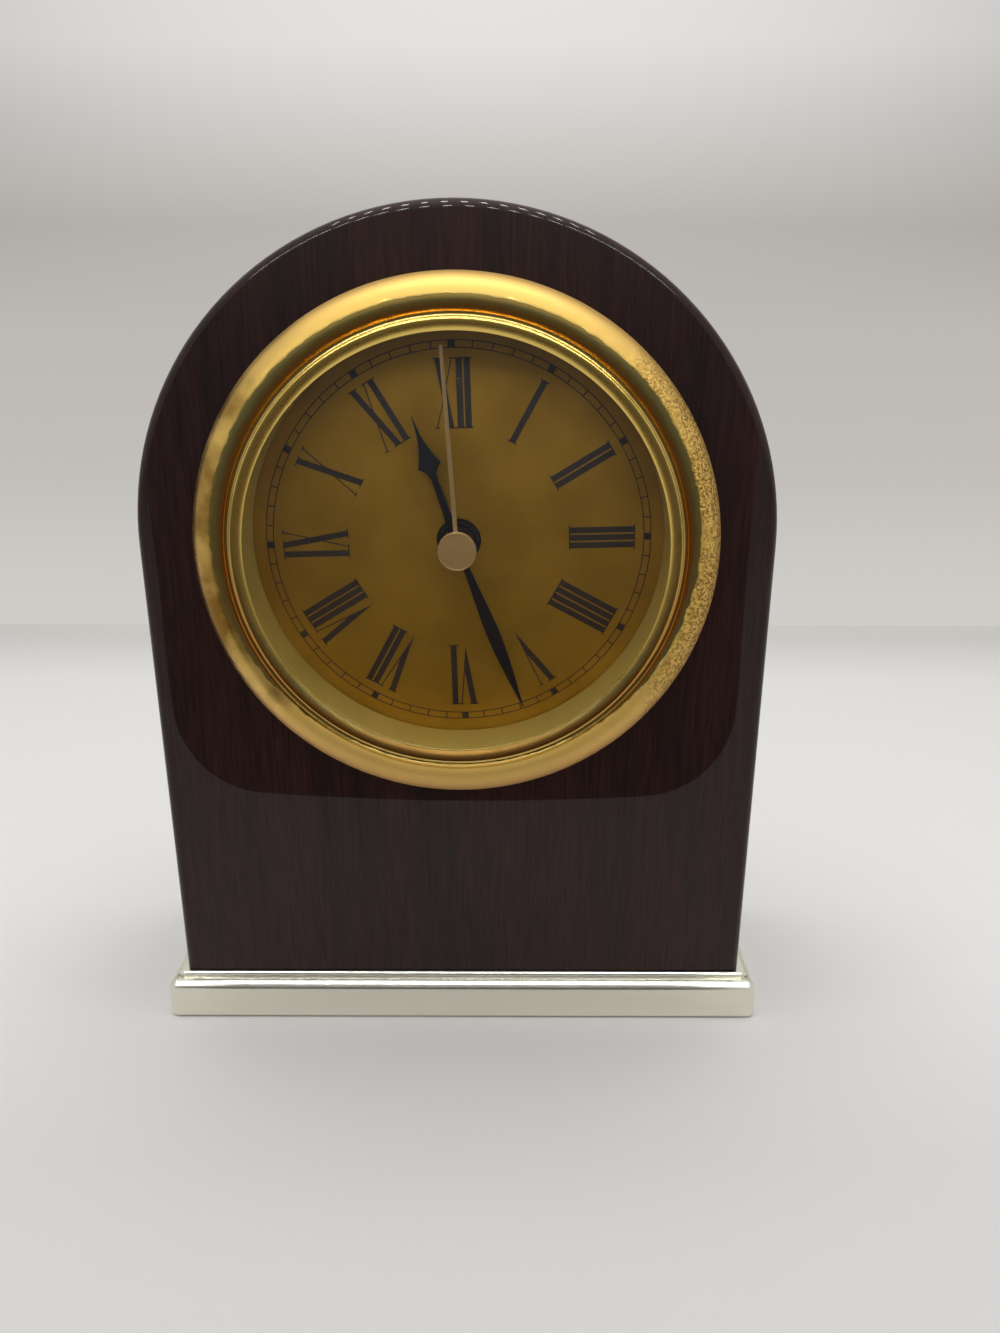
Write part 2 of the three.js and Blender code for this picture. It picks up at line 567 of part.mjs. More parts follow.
// Round housing with its front plate, centre bush, pillars, studs and screw bosses
function housing() {
  const front = COVE_DEPTH + BEZEL_SHEET + SEAT;
  const flangeFront = -SEAT - FLANGE_THICKNESS;
  const shell = turned([
    [HOUSING_BORE, front], [HOUSING_RADIUS, front], [HOUSING_RADIUS, flangeFront],
    [FLANGE_RADIUS, flangeFront], [FLANGE_RADIUS, -SEAT], [HOUSING_RADIUS, -SEAT],
    [HOUSING_RADIUS, HOUSING_BACK], [HOUSING_BORE, HOUSING_BACK], [HOUSING_BORE, front],
  ]);
  const plate = rod(HOUSING_BORE + HOUSING_WALL / 2, PLATE_FRONT, PLATE_BACK, FULL);
  const bush = rod(BUSH_RADIUS, ALARM_PLANE + 0.35 + SEAT, PLATE_BACK, FINE);
  const post = ([x, z], radius, back) => moved(rod(radius, PLATE_BACK - 0.5, back), x, 0, z);
  const pillars = PILLARS.map((place) => post(place, PILLAR_RADIUS, BRIDGE_FRONT - SEAT));
  const boardPosts = BOARD_POSTS.flatMap((place) => [
    post(place, PILLAR_RADIUS, BOARD_FRONT - SEAT),
    post(place, PILLAR_RADIUS / 2, BOARD_BACK),
  ]);
  const studs = [
    post(MINUTE_WHEEL_PLACE, STUD, MINUTE_LAYER + WHEEL_FACE + 0.2),
    post(IDLER_PLACE, STUD, ALARM_LAYER + WHEEL_FACE + 0.2),
  ];
  const bosses = COVER_SCREW_ANGLES.map((angle) => {
    const [x, z] = polar(COVER_SCREW_CIRCLE, angle);
    return sheet(ringPoints(x, z, COVER_BOSS, COARSE), PLATE_BACK - 0.5, COVER_FRONT - SEAT);
  });
  const holes = [
    rod(BUSH_BORE, -1, PLATE_BACK + 1, FINE),
    ...[THIRD_PLACE, ROTOR_PLACE].map(([x, z]) => moved(rod(ARBOR + RUN, 0, PLATE_BACK + 1), x, 0, z)),
    ...PILLARS.map(([x, z]) => moved(rod(SMALL_SCREW + RUN, BRIDGE_FRONT - 5, BRIDGE_FRONT + 1), x, 0, z)),
    ...COVER_SCREW_ANGLES.map((angle) => {
      const [x, z] = polar(COVER_SCREW_CIRCLE, angle);
      return moved(rod(SMALL_SCREW + RUN, COVER_FRONT - 7, COVER_FRONT + 1), x, 0, z);
    }),
  ];
  const body = joined(shell, plate, bush, ...pillars, ...boardPosts, ...studs, ...bosses);
  piece(insert, 'insert_housing', cut(body, ...holes), BLACK_PLASTIC);

  const inner = HOUSING_RADIUS + SEAT;
  const ridges = [];
  const pitch = GRIP_WIDTH / 4;
  for (let i = 0; i < 2; i += 1) {
    const start = GRIP_FRONT + pitch * (2 * i + 0.5);
    ridges.push([inner + GRIP_THICKNESS - 0.2, start], [inner + GRIP_THICKNESS, start + pitch / 2]);
    ridges.push([inner + GRIP_THICKNESS - 0.2, start + pitch]);
  }
  const grip = turned([
    [inner, GRIP_FRONT], ...ridges, [inner, GRIP_FRONT + GRIP_WIDTH], [inner, GRIP_FRONT],
  ], GRIP_FACETS);
  piece(insert, 'grip_ring', grip, RUBBER);
}

// Blade drawn along its clock angle, from its half widths at shares of its reach
function blade(sections, tipGap, clockAngle, front, back) {
  const reach = RING_INNER - tipGap;
  const sine = Math.sin((clockAngle * Math.PI) / 180);
  const cosine = Math.cos((clockAngle * Math.PI) / 180);
  const at = (u, v) => [u * sine + v * cosine, u * cosine - v * sine];
  const left = sections.map(([share, half]) => at(share * reach, -half));
  const right = sections.map(([share, half]) => at(share * reach, half)).reverse();
  return sheet([...left, ...right], front, back);
}

// One steel hand on its pipe: the hub stands past the pipe by the given rim
function hand(name, sections, tipGap, clockAngle, plane, pipe, rim, hubDepth) {
  const front = plane - BLADE_THICKNESS / 2;
  const strip = blade(sections, tipGap, clockAngle, front, front + BLADE_THICKNESS);
  const hub = rod(pipe + rim, front, front + hubDepth, FINE);
  const hole = rod(pipe + RUN, front - 1, front + hubDepth + 1, FINE);
  piece(insert, name, cut(joined(strip, hub), hole), BLACK);
}

function hands() {
  hand('alarm_hand', ALARM_BLADE, ALARM_TIP, ALARM_ANGLE, ALARM_PLANE, ALARM_PIPE, 0.8, 0.5);
  hand('hour_hand', HOUR_BLADE, HOUR_TIP, HOUR_ANGLE, HOUR_PLANE, HOUR_PIPE, 0.9, 1);
  hand('minute_hand', MINUTE_BLADE, MINUTE_TIP, MINUTE_ANGLE, MINUTE_PLANE, MINUTE_PIPE, 0.8, 0.9);

  const capBack = CAP_FRONT + CAP_THICKNESS;
  const cap = turned([
    [0, CAP_FRONT + 0.05], [CAP_RADIUS - 0.25, CAP_FRONT + 0.05], [CAP_RADIUS - 0.12, CAP_FRONT],
    [CAP_RADIUS, CAP_FRONT + 0.12], [CAP_RADIUS, capBack], [0, capBack],
  ], MIDDLING);
  const batonBack = capBack + BLADE_THICKNESS;
  const baton = blade(SECOND_BLADE, SECOND_TIP, SECOND_ANGLE, capBack - LAP, batonBack);
  const sleeve = rod(SECOND_ARBOR + RUN + 0.45, capBack - LAP, capBack + 1.7);
  const socket = rod(SECOND_ARBOR + RUN, batonBack, capBack + 3);
  piece(insert, 'second_hand', cut(joined(cap, baton, sleeve), socket), GOLD);
}

// Hour, minute and alarm setting wheels in front of the going train
function motionWork() {
  const frontOf = (plane) => plane - BLADE_THICKNESS / 2 - SEAT;
  const pipedWheel = (wheel, bore, pipe, front, back) =>
    cut(joined(wheel, rod(pipe, front, back, FINE)), rod(bore, front - 1, back + 1, FINE));

  const alarmBack = ALARM_LAYER + WHEEL_FACE;
  const alarmTeeth = toothed(ALARM_TEETH, ALARM_MODULE, ALARM_LAYER, alarmBack);
  const alarmFront = frontOf(ALARM_PLANE);
  piece(insert, 'alarm_wheel', pipedWheel(alarmTeeth, ALARM_BORE, ALARM_PIPE, alarmFront, alarmBack), BRASS);

  const hourBack = HOUR_LAYER + WHEEL_FACE;
  const hourTeeth = toothed(HOUR_TEETH, ALARM_MODULE, HOUR_LAYER, hourBack);
  const hourFront = frontOf(HOUR_PLANE);
  piece(insert, 'hour_wheel', pipedWheel(hourTeeth, HOUR_BORE, HOUR_PIPE, hourFront, hourBack), BRASS);

  const minuteBack = MINUTE_LAYER + WHEEL_FACE;
  const cannon = toothed(CANNON_TEETH, CANNON_MODULE, MINUTE_LAYER - LAP, minuteBack);
  const pipeBack = THIRD_LAYER - 0.4;
  const minutePipe = pipedWheel(cannon, MINUTE_BORE, MINUTE_PIPE, frontOf(MINUTE_PLANE), pipeBack);
  piece(insert, 'minute_pipe', minutePipe, STEEL);

  const pinionPhase = meshed(MINUTE_PINION_TEETH, 0, HOUR_TEETH, 0);
  const minuteWheel = cut(
    joined(
      toothed(MINUTE_WHEEL_TEETH, CANNON_MODULE, MINUTE_LAYER, minuteBack, MINUTE_WHEEL_PHASE),
      toothed(MINUTE_PINION_TEETH, ALARM_MODULE, HOUR_LAYER - LAP, MINUTE_LAYER + LAP, pinionPhase),
    ),
    rod(STUD + RUN, 0, MINUTE_LAYER + 2),
  );
  piece(insert, 'minute_wheel', minuteWheel, WHITE_PLASTIC, ...MINUTE_WHEEL_PLACE);

  const idler = cut(
    toothed(IDLER_TEETH, ALARM_MODULE, ALARM_LAYER, alarmBack, IDLER_PHASE),
    rod(STUD + RUN, 0, ALARM_LAYER + 2),
  );
  piece(insert, 'alarm_idler', idler, WHITE_PLASTIC, ...IDLER_PLACE);
}

// Going train, from the centre wheel to the rotor
function goingTrain() {
  const outerModule = (2 * THIRD_DISTANCE) / (LEAF_TEETH + THIRD_TEETH);
  const innerModule = (2 * THIRD_DISTANCE) / (LEAF_TEETH + CENTRE_TEETH);
  const secondModule = (2 * INTERMEDIATE_DISTANCE) / (LEAF_TEETH + SECOND_TEETH);
  const rotorModule = (2 * ROTOR_DISTANCE) / (ROTOR_TEETH + INTERMEDIATE_TEETH);
  const arborBack = BRIDGE_BACK - RUN;
  const arborFront = PLATE_FRONT + TRAIN_GAP;
  const wheel = (teeth, module, front, phase) => toothed(teeth, module, front, front + WHEEL_FACE, phase);
  const leaves = (module, front, back, phase, teeth = LEAF_TEETH) =>
    toothed(teeth, module, front - LAP, back + LAP, phase);

  const centreWheel = cut(
    wheel(CENTRE_TEETH, innerModule, CENTRE_LAYER, THIRD_ANGLE),
    rod(MINUTE_PIPE + RUN, 0, CENTRE_LAYER + 2, FINE),
  );
  piece(insert, 'centre_wheel', centreWheel, BRASS);

  const innerPhase = meshed(LEAF_TEETH, THIRD_ANGLE, CENTRE_TEETH, THIRD_ANGLE);
  const thirdPhase = meshed(THIRD_TEETH, THIRD_ANGLE, LEAF_TEETH, THIRD_ANGLE);
  const thirdWheel = joined(
    rod(ARBOR, arborFront, arborBack),
    leaves(innerModule, CENTRE_LAYER, THIRD_LAYER, innerPhase),
    wheel(THIRD_TEETH, outerModule, THIRD_LAYER, thirdPhase),
  );
  piece(insert, 'third_wheel', thirdWheel, BRASS, ...THIRD_PLACE);

  const arborTip = CAP_FRONT + CAP_THICKNESS + BLADE_THICKNESS + SEAT;
  const secondWheel = joined(
    rod(SECOND_ARBOR, arborTip, arborBack),
    leaves(outerModule, THIRD_LAYER, SECOND_LAYER, THIRD_ANGLE),
    wheel(SECOND_TEETH, secondModule, SECOND_LAYER, INTERMEDIATE_ANGLE),
  );
  piece(insert, 'second_wheel', secondWheel, BRASS);

  const outward = INTERMEDIATE_ANGLE;
  const leafPhase = meshed(LEAF_TEETH, outward, SECOND_TEETH, outward);
  const intermediate = joined(
    rod(ARBOR, SECOND_LAYER - LAP, BRIDGE_BACK + 1.3),
    leaves(secondModule, SECOND_LAYER, INTERMEDIATE_LAYER, leafPhase),
    wheel(INTERMEDIATE_TEETH, rotorModule, INTERMEDIATE_LAYER, outward),
  );
  piece(insert, 'intermediate_wheel', intermediate, WHITE_PLASTIC, ...INTERMEDIATE_PLACE);

  const rotorPhase = meshed(ROTOR_TEETH, outward, INTERMEDIATE_TEETH, outward);
  const rotor = joined(
    rod(ARBOR, arborFront, arborBack),
    rod(ARBOR + ROTOR_HUB, THIRD_LAYER - 0.6, INTERMEDIATE_LAYER),
    rod(MAGNET_RADIUS, THIRD_LAYER - 0.4, THIRD_LAYER + 1.5, FINE),
    leaves(rotorModule, INTERMEDIATE_LAYER, INTERMEDIATE_LAYER + WHEEL_FACE - LAP, rotorPhase, ROTOR_TEETH),
  );
  piece(insert, 'rotor', rotor, STEEL, ...ROTOR_PLACE);
}

function screw(headRadius, shankRadius, headFront, length) {
  const tip = headFront - length;
  const crown = headFront + SCREW_HEAD_HEIGHT;
  const shoulder = headFront + SCREW_HEAD_HEIGHT * 0.7;
  const body = turned([
    [0, tip], [shankRadius, tip], [shankRadius, headFront], [headRadius, headFront],
    [headRadius, shoulder], [headRadius * 0.6, crown], [0, crown],
  ], COARSE);
  const slot = box(-headRadius, headRadius, headFront + SCREW_HEAD_HEIGHT * 0.4, headFront + 2, -0.2, 0.2);
  return cut(body, slot);
}

// Bridge over the train, its screws, the stator and the coil
function frameAndMotor() {
  const edge = 1.9;
  const [low, high] = [PILLARS[0][1] - edge, PILLARS[2][1] + edge];
  const left = PILLARS[0][0] - edge;
  const right = PILLARS[1][0] + edge;
  const [rx, rz] = ROTOR_PLACE;
  const outline = [
    [left, low], [right, low], [right, PILLARS[1][1] + edge], [rx + 3, rz + 1],
    [rx, high - 2], [left + 4, high], [left, high],
  ];
  const holes = [
    [0, 0, SECOND_ARBOR + RUN],
    [...THIRD_PLACE, ARBOR + RUN],
    [...ROTOR_PLACE, ARBOR + RUN],
    ...PILLARS.map(([x, z]) => [x, z, SMALL_SCREW + RUN]),
  ];
  const [ix, iz] = INTERMEDIATE_PLACE;
  const boss = moved(rod(1.2, BRIDGE_FRONT, BRIDGE_BACK + 1.5), ix, 0, iz);
  const bossHole = moved(rod(ARBOR + RUN, BRIDGE_FRONT - 1, BRIDGE_BACK + 2), ix, 0, iz);
  const bridge = cut(joined(sheet(outline, BRIDGE_FRONT, BRIDGE_BACK, holes), boss), bossHole);
  piece(insert, 'train_bridge', bridge, STEEL);
  PILLARS.forEach(([x, z], i) => {
    const fixing = screw(SMALL_HEAD, SMALL_SCREW, BRIDGE_BACK + SEAT, 4.5);
    piece(insert, `bridge_screw_${i + 1}`, fixing, STEEL, x, z);
  });

  const statorBack = THIRD_LAYER + STATOR_THICKNESS;
  const legTop = COIL_HEIGHT + 2.5;
  const legLeft = COIL_LEFT - 0.5;
  const legRight = COIL_RIGHT + 0.5;
  const yokeTop = COIL_HEIGHT - COIL_RADIUS - BOBBIN_RIM - SEAT;
  const outLeft = legLeft - STATOR_LEG;
  const outRight = legRight + STATOR_LEG;
  const stator = sheet([
    [rx - 4.6, rz - 3.9], [outRight, rz - 3.9], [outRight, legTop], [legRight, legTop],
    [legRight, yokeTop], [legLeft, yokeTop], [legLeft, legTop], [outLeft, legTop],
    [outLeft, rz + 3.3], [rx - 4.6, rz + 3.3],
  ], THIRD_LAYER, statorBack);
  const rotorHole = moved(rod(MAGNET_RADIUS + 0.4, THIRD_LAYER - 1, statorBack + 1, FINE), rx, 0, rz);
  piece(insert, 'stator', cut(stator, rotorHole), STEEL);

  const coreFront = statorBack + SEAT;
  const coreLow = COIL_HEIGHT - CORE_WIDTH / 2;
  const coreBack = coreFront + CORE_THICKNESS;
  const core = box(outLeft, outRight, coreFront, coreBack, coreLow, coreLow + CORE_WIDTH);
  piece(insert, 'coil_core', core, STEEL);

  const axis = coreFront + CORE_THICKNESS / 2;
  const bore = Math.hypot(CORE_WIDTH, CORE_THICKNESS) / 2 + RUN;
  const reel = bore + BOBBIN_WALL;
  const rim = COIL_RADIUS + BOBBIN_RIM;
  const windFrom = COIL_LEFT + BOBBIN_FLANGE;
  const windTo = COIL_RIGHT - BOBBIN_FLANGE;
  const alongX = (body) => moved(body.rotate([0, 0, -90]), 0, axis, COIL_HEIGHT);
  const bobbin = turned([
    [bore, COIL_LEFT], [rim, COIL_LEFT], [rim, windFrom], [reel, windFrom],
    [reel, windTo], [rim, windTo], [rim, COIL_RIGHT], [bore, COIL_RIGHT], [bore, COIL_LEFT],
  ], FINE);
  piece(insert, 'coil_bobbin', alongX(bobbin), WHITE_PLASTIC);
  const winding = tube(reel + RUN, COIL_RADIUS, windFrom + SEAT, windTo - SEAT, FINE);
  piece(insert, 'coil_winding', alongX(winding), COPPER);
}

function circuit() {
  const holes = BOARD_POSTS.map(([x, z]) => [x, z, PILLAR_RADIUS / 2 + RUN]);
  const board = sheet([
    [BOARD_LEFT, BOARD_LOW], [BOARD_RIGHT, BOARD_LOW],
    [BOARD_RIGHT, BOARD_HIGH], [BOARD_LEFT, BOARD_HIGH],
  ], BOARD_FRONT, BOARD_BACK, holes);
  piece(insert, 'circuit_board', board, BOARD_GREEN);
  const seat = BOARD_BACK + SEAT;
  const chipLow = BOARD_LOW + CHIP_LIFT;
  const chip = box(-CHIP_WIDTH / 2, CHIP_WIDTH / 2, seat, seat + 1.1, chipLow, chipLow + CHIP_HEIGHT);
  piece(insert, 'clock_chip', chip, BLACK_PLASTIC);
  const can = rod(CAN_RADIUS, -3, 3, COARSE).rotate([0, 0, 90]);
  piece(insert, 'quartz_crystal', moved(can, BOARD_RIGHT - 5, seat + CAN_RADIUS, chipLow), STEEL);

  const buzzerBack = COVER_FRONT - SEAT;
  const buzzerFront = buzzerBack - BUZZER_THICKNESS;
  const buzzerBore = BUZZER_RADIUS - 1;
  const buzzer = turned([
    [0, buzzerFront], [BUZZER_RADIUS, buzzerFront], [BUZZER_RADIUS, buzzerBack],
    [buzzerBore, buzzerBack], [buzzerBore, buzzerFront + 0.6], [0, buzzerFront + 0.6],
  ], MIDDLING);
  piece(insert, 'buzzer', buzzer, BRASS, 0, BUZZER_HEIGHT);

  const raised = seat + 2.3;
  const leaf = [
    [-8, seat], [-4, seat], [-2.5, raised], [4, raised],
    [4, raised + LEAF_SHEET], [-2.7, raised + LEAF_SHEET], [-4.2, seat + LEAF_SHEET], [-8, seat + LEAF_SHEET],
  ];
  const shape = new THREE.Shape(outlineOf(leaf));
  const strip = solid(new THREE.ExtrudeGeometry(shape, { depth: 1.6, bevelEnabled: false }));
  piece(insert, 'switch_contact', moved(strip, 0, 0, SWITCH_HEIGHT - 3.4), COPPER);
}

// Cell and its two contacts
function battery() {
  const half = CELL_LENGTH / 2;
  const crown = half - CELL_NUB;
  const edge = 0.4;
  const cell = turned([
    [0, -half], [CELL_RADIUS - edge, -half], [CELL_RADIUS, edge - half], [CELL_RADIUS, crown - edge],
    [CELL_RADIUS - edge, crown], [1.9, crown], [1.9, half], [0, half],
  ], MIDDLING);
  const inBay = (body) => moved(body.rotate([0, 0, -90]), 0, CELL_AXIS, CELL_HEIGHT);
  piece(insert, 'battery_cell', inBay(cell), CELL_JACKET);

  const wall = BAY_LEFT - SEAT;
  const plate = CELL_RADIUS - 2;
  const plus = box(wall - CONTACT, wall, -plate, plate, -plate, plate);
  const dimple = inBay(rod(1.5, half + SEAT, wall - CONTACT + LAP, COARSE));
  piece(insert, 'battery_contact', joined(moved(plus, 0, CELL_AXIS, CELL_HEIGHT), dimple), STEEL);

  const turns = 3;
  const stepsPerTurn = 8;
  const ringSides = 5;
  const start = SPRING_WIRE - wall;
  const length = wall - half - SEAT - 2 * SPRING_WIRE;
  const middle = [];
  for (let i = 0; i <= turns * stepsPerTurn; i += 1) {
    const share = i / (turns * stepsPerTurn);
    const [y, z] = polar(SPRING_RADIUS * (1 - 0.6 * share), share * turns * 360);
    middle.push(new THREE.Vector3(start + length * share, CELL_AXIS + y, CELL_HEIGHT + z));
  }
  const path = new THREE.CatmullRomCurve3(middle);
  const section = new THREE.Shape(outlineOf(ringPoints(0, 0, SPRING_WIRE, ringSides)));
  const coil = new THREE.ExtrudeGeometry(section, { steps: turns * stepsPerTurn, extrudePath: path });
  piece(insert, 'battery_spring', solid(coil), STEEL);
}

// Rear cover with the battery bay, and its door
function rearCover() {
  const disc = rod(COVER_RADIUS, COVER_FRONT, COVER_BACK, FULL);
  const round = (radius) => rod(radius, BAY_FRONT - BAY_WALL - 1, COVER_BACK + 1, FULL);
  const outer = BAY_LEFT + BAY_WALL;
  const floor = BAY_FRONT - BAY_WALL * 0.7;
  const trough = box(-outer, outer, floor, COVER_FRONT + 0.5, BAY_LOW - BAY_WALL, BAY_HIGH + BAY_WALL)
    .intersect(round(COVER_RADIUS));
  const room = box(-BAY_LEFT, BAY_LEFT, BAY_FRONT, COVER_BACK + 2, BAY_LOW, BAY_HIGH)
    .intersect(round(BAY_CIRCLE));
  const shaftHoles = [TIME_KNOB_PLACE, ALARM_KNOB_PLACE].map(([x, z]) =>
    moved(rod(KNOB_SHAFT + RUN, COVER_FRONT - 1, COVER_BACK + 1), x, 0, z));
  const screwHoles = COVER_SCREW_ANGLES.map((angle) => {
    const [x, z] = polar(COVER_SCREW_CIRCLE, angle);
    return moved(rod(SMALL_SCREW + RUN, COVER_FRONT - 1, COVER_BACK + 1), x, 0, z);
  });
  const soundHoles = [[0, 0]];
  for (let i = 0; i < 6; i += 1) soundHoles.push(polar(SOUND_CIRCLE, i * 60));
  const sound = soundHoles.map(([x, z]) =>
    moved(rod(SOUND_HOLE, COVER_FRONT - 1, COVER_BACK + 1), x, 0, BUZZER_HEIGHT + z));
  const slotHalf = (SWITCH_WIDTH + SWITCH_TRAVEL) / 2 + SEAT;
  const slotTall = SWITCH_TALL / 2 + SEAT;
  const slotHigh = SWITCH_HEIGHT + slotTall;
  const slot = box(-slotHalf, slotHalf, COVER_FRONT - 1, COVER_BACK + 1, SWITCH_HEIGHT - slotTall, slotHigh);
  const body = cut(joined(disc, trough), room, ...shaftHoles, ...screwHoles, ...sound, slot);
  piece(insert, 'rear_cover', body, BLACK_PLASTIC);

  COVER_SCREW_ANGLES.forEach((angle, i) => {
    const fixing = screw(SMALL_HEAD, SMALL_SCREW, COVER_BACK + SEAT, 7);
    piece(insert, `cover_screw_${i + 1}`, fixing, STEEL, ...polar(COVER_SCREW_CIRCLE, angle));
  });

  const doorFront = COVER_BACK - DOOR_THICKNESS;
  const doorHalf = BAY_LEFT - SEAT;
  const lid = box(-doorHalf, doorHalf, doorFront, COVER_BACK, BAY_LOW + SEAT, BAY_HIGH - SEAT)
    .intersect(round(BAY_CIRCLE - SEAT));
  const grooves = [];
  for (let i = -3; i <= 3; i += 1) {
    const x = i * 1.6;
    grooves.push(box(x - 0.35, x + 0.35, COVER_BACK - 0.4, COVER_BACK + 1, BAY_HIGH - 5.5, BAY_HIGH - 2));
  }
  piece(insert, 'battery_door', cut(lid, ...grooves), BLACK_PLASTIC);
}

// Knob with ribbed rim, shaft and a pinion at its front end
function knob(name, pinionModule, pinionFront, place, phase) {
  const outline = [];
  for (let i = 0; i < KNOB_RIBS * 2; i += 1) {
    outline.push(polar(KNOB_RADIUS - (i % 2) * 0.35, (i * 180) / KNOB_RIBS));
  }
  const gripFront = COVER_BACK + 0.5;
  const grip = sheet(outline, gripFront, gripFront + KNOB_LENGTH);
  const dish = turned([
    [0, gripFront + KNOB_LENGTH - 0.6], [KNOB_RADIUS - 1.6, gripFront + KNOB_LENGTH - 0.6],
    [KNOB_RADIUS - 1.2, gripFront + KNOB_LENGTH + 1], [0, gripFront + KNOB_LENGTH + 1],
  ], FINE);
  const shaft = rod(KNOB_SHAFT, PLATE_BACK + SEAT, gripFront + 1);
  const pinion = toothed(KNOB_PINION_TEETH, pinionModule, pinionFront, pinionFront + WHEEL_FACE + 0.1, phase);
  piece(insert, name, joined(cut(grip, dish), shaft, pinion), BLACK_PLASTIC, ...place);
}

function controls() {
  const timePhase = meshed(KNOB_PINION_TEETH, 0, MINUTE_WHEEL_TEETH, MINUTE_WHEEL_PHASE);
  knob('time_knob', CANNON_MODULE, MINUTE_LAYER - 0.1, TIME_KNOB_PLACE, timePhase);
  const alarmPhase = meshed(KNOB_PINION_TEETH, 180, IDLER_TEETH, IDLER_PHASE);
  knob('alarm_knob', ALARM_MODULE, ALARM_LAYER - 0.05, ALARM_KNOB_PLACE, alarmPhase);

  const offX = -SWITCH_TRAVEL / 2;
  const halfTall = SWITCH_TALL / 2;
  const footBack = COVER_FRONT - SEAT;
  const aboutSwitch = (half, front, back, tall) =>
    box(offX - half, offX + half, front, back, SWITCH_HEIGHT - tall, SWITCH_HEIGHT + tall);
  const foot = aboutSwitch(SWITCH_WIDTH / 2 + 1.6, footBack - 1, footBack, halfTall + 1);
  const thumb = aboutSwitch(SWITCH_WIDTH / 2, footBack - 0.5, COVER_BACK + 1.6, halfTall);
  const groove = aboutSwitch(0.25, COVER_BACK + 1.1, COVER_BACK + 3, halfTall + 1);
  const grooves = [-1, 0, 1].map((i) => moved(groove, i * 1.1, 0, 0));
  piece(insert, 'alarm_switch', cut(joined(foot, thumb), ...grooves), GREY_PLASTIC);
}

piece(object, 'wood_case', woodCase(), ROSEWOOD);
base();
bezel();
lensAndDial();
housing();
hands();
motionWork();
goingTrain();
frameAndMotor();
circuit();
battery();
rearCover();
controls();

export default object;
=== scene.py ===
# %% [markdown]
# # A desk alarm clock
# The real object is an arched block of rosewood-finish wood on a stepped metal base, with a round
# quartz insert behind a brass bezel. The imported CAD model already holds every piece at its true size.
# Here each surface that shows is modelled finer and gets its finish. Blender works in metres, so a
# number in millimetres is multiplied by MM.

import json
from math import atan2, cos, pi, radians, sin, sqrt

import bmesh
import bpy
from mathutils import Matrix, Vector


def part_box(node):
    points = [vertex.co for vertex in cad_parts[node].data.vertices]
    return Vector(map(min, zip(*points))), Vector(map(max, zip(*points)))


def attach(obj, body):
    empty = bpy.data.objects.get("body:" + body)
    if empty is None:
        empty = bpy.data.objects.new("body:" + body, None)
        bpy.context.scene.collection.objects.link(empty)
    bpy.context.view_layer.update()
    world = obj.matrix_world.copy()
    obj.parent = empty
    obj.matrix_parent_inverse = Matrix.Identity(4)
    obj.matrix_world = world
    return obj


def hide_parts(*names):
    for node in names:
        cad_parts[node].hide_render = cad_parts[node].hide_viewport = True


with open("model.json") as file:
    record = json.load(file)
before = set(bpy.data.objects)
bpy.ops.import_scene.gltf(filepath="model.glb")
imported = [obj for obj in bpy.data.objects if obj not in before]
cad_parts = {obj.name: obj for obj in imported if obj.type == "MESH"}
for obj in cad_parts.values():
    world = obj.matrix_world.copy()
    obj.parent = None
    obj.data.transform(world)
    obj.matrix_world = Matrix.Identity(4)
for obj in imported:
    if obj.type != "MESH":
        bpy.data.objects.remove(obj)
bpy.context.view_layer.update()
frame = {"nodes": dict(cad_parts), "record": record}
MM = 0.001

# %% [markdown]
# ## Places from the frame
# Every finer piece takes its place from the CAD node that it stands for, so nothing is fitted by eye.
# The insert is round about the middle of the dial, and depths are counted from the case's front.

# %% Places
case_low, case_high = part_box("wood_case")
dial_low, dial_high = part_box("dial")
FACE = case_low.y
AXIS = (dial_low.z + dial_high.z) / 2


def depth(millimetres):
    """A depth behind the front face of the case, as a place along Y."""
    return FACE + millimetres * MM


print("Dial axis in mm:", round(AXIS / MM, 2), "case face:", round(FACE / MM, 2))

# %% [markdown]
# ## Camera
# The photograph looks like one from a phone held close in front of the clock and a little above it.
# The camera could be set by eye until the picture fits, but a wide lens this near bends every
# proportion, so it was solved from the outline of the arch, the base and the rings of the dial.
# Colours are shown with the Standard transform, so they come out as they are written.

# %% Camera
PHOTO_HEIGHT = 1333
FOCAL_PIXELS = 1035.8
SENSOR = 36.0
CAMERA_PLACE = (7.47, -190.1, 133.3)  # in mm
CAMERA_PAN, CAMERA_TILT, CAMERA_ROLL = 0.08, 19.7, 0.1  # in degrees; the tilt is downward

camera_data = bpy.data.cameras.new("phone_camera")
camera_data.sensor_width = SENSOR
camera_data.lens = FOCAL_PIXELS / PHOTO_HEIGHT * SENSOR
camera_data.clip_start = 0.01
camera = bpy.data.objects.new("phone_camera", camera_data)
bpy.context.scene.collection.objects.link(camera)
camera.matrix_world = (
    Matrix.Translation([side * MM for side in CAMERA_PLACE])
    @ Matrix.Rotation(radians(CAMERA_PAN), 4, "Z")
    @ Matrix.Rotation(radians(90 - CAMERA_TILT), 4, "X")
    @ Matrix.Rotation(radians(CAMERA_ROLL), 4, "Z")
)
bpy.context.scene.camera = camera
bpy.context.scene.view_settings.view_transform = "Standard"
print("Lens in mm:", round(camera_data.lens, 2))

# %% [markdown]
# ## One helper for materials
# Every finish below is a small node tree. A single function adds a node with its settings and links,
# and another turns a hex colour, as a colour picker shows it, into the renderer's linear values.

# %% Node helper
def linear(hex_colour):
    channels = [int(hex_colour[i:i + 2], 16) / 255 for i in (1, 3, 5)]
    return tuple(c / 12.92 if c <= 0.04045 else ((c + 0.055) / 1.055) ** 2.4 for c in channels) + (1,)


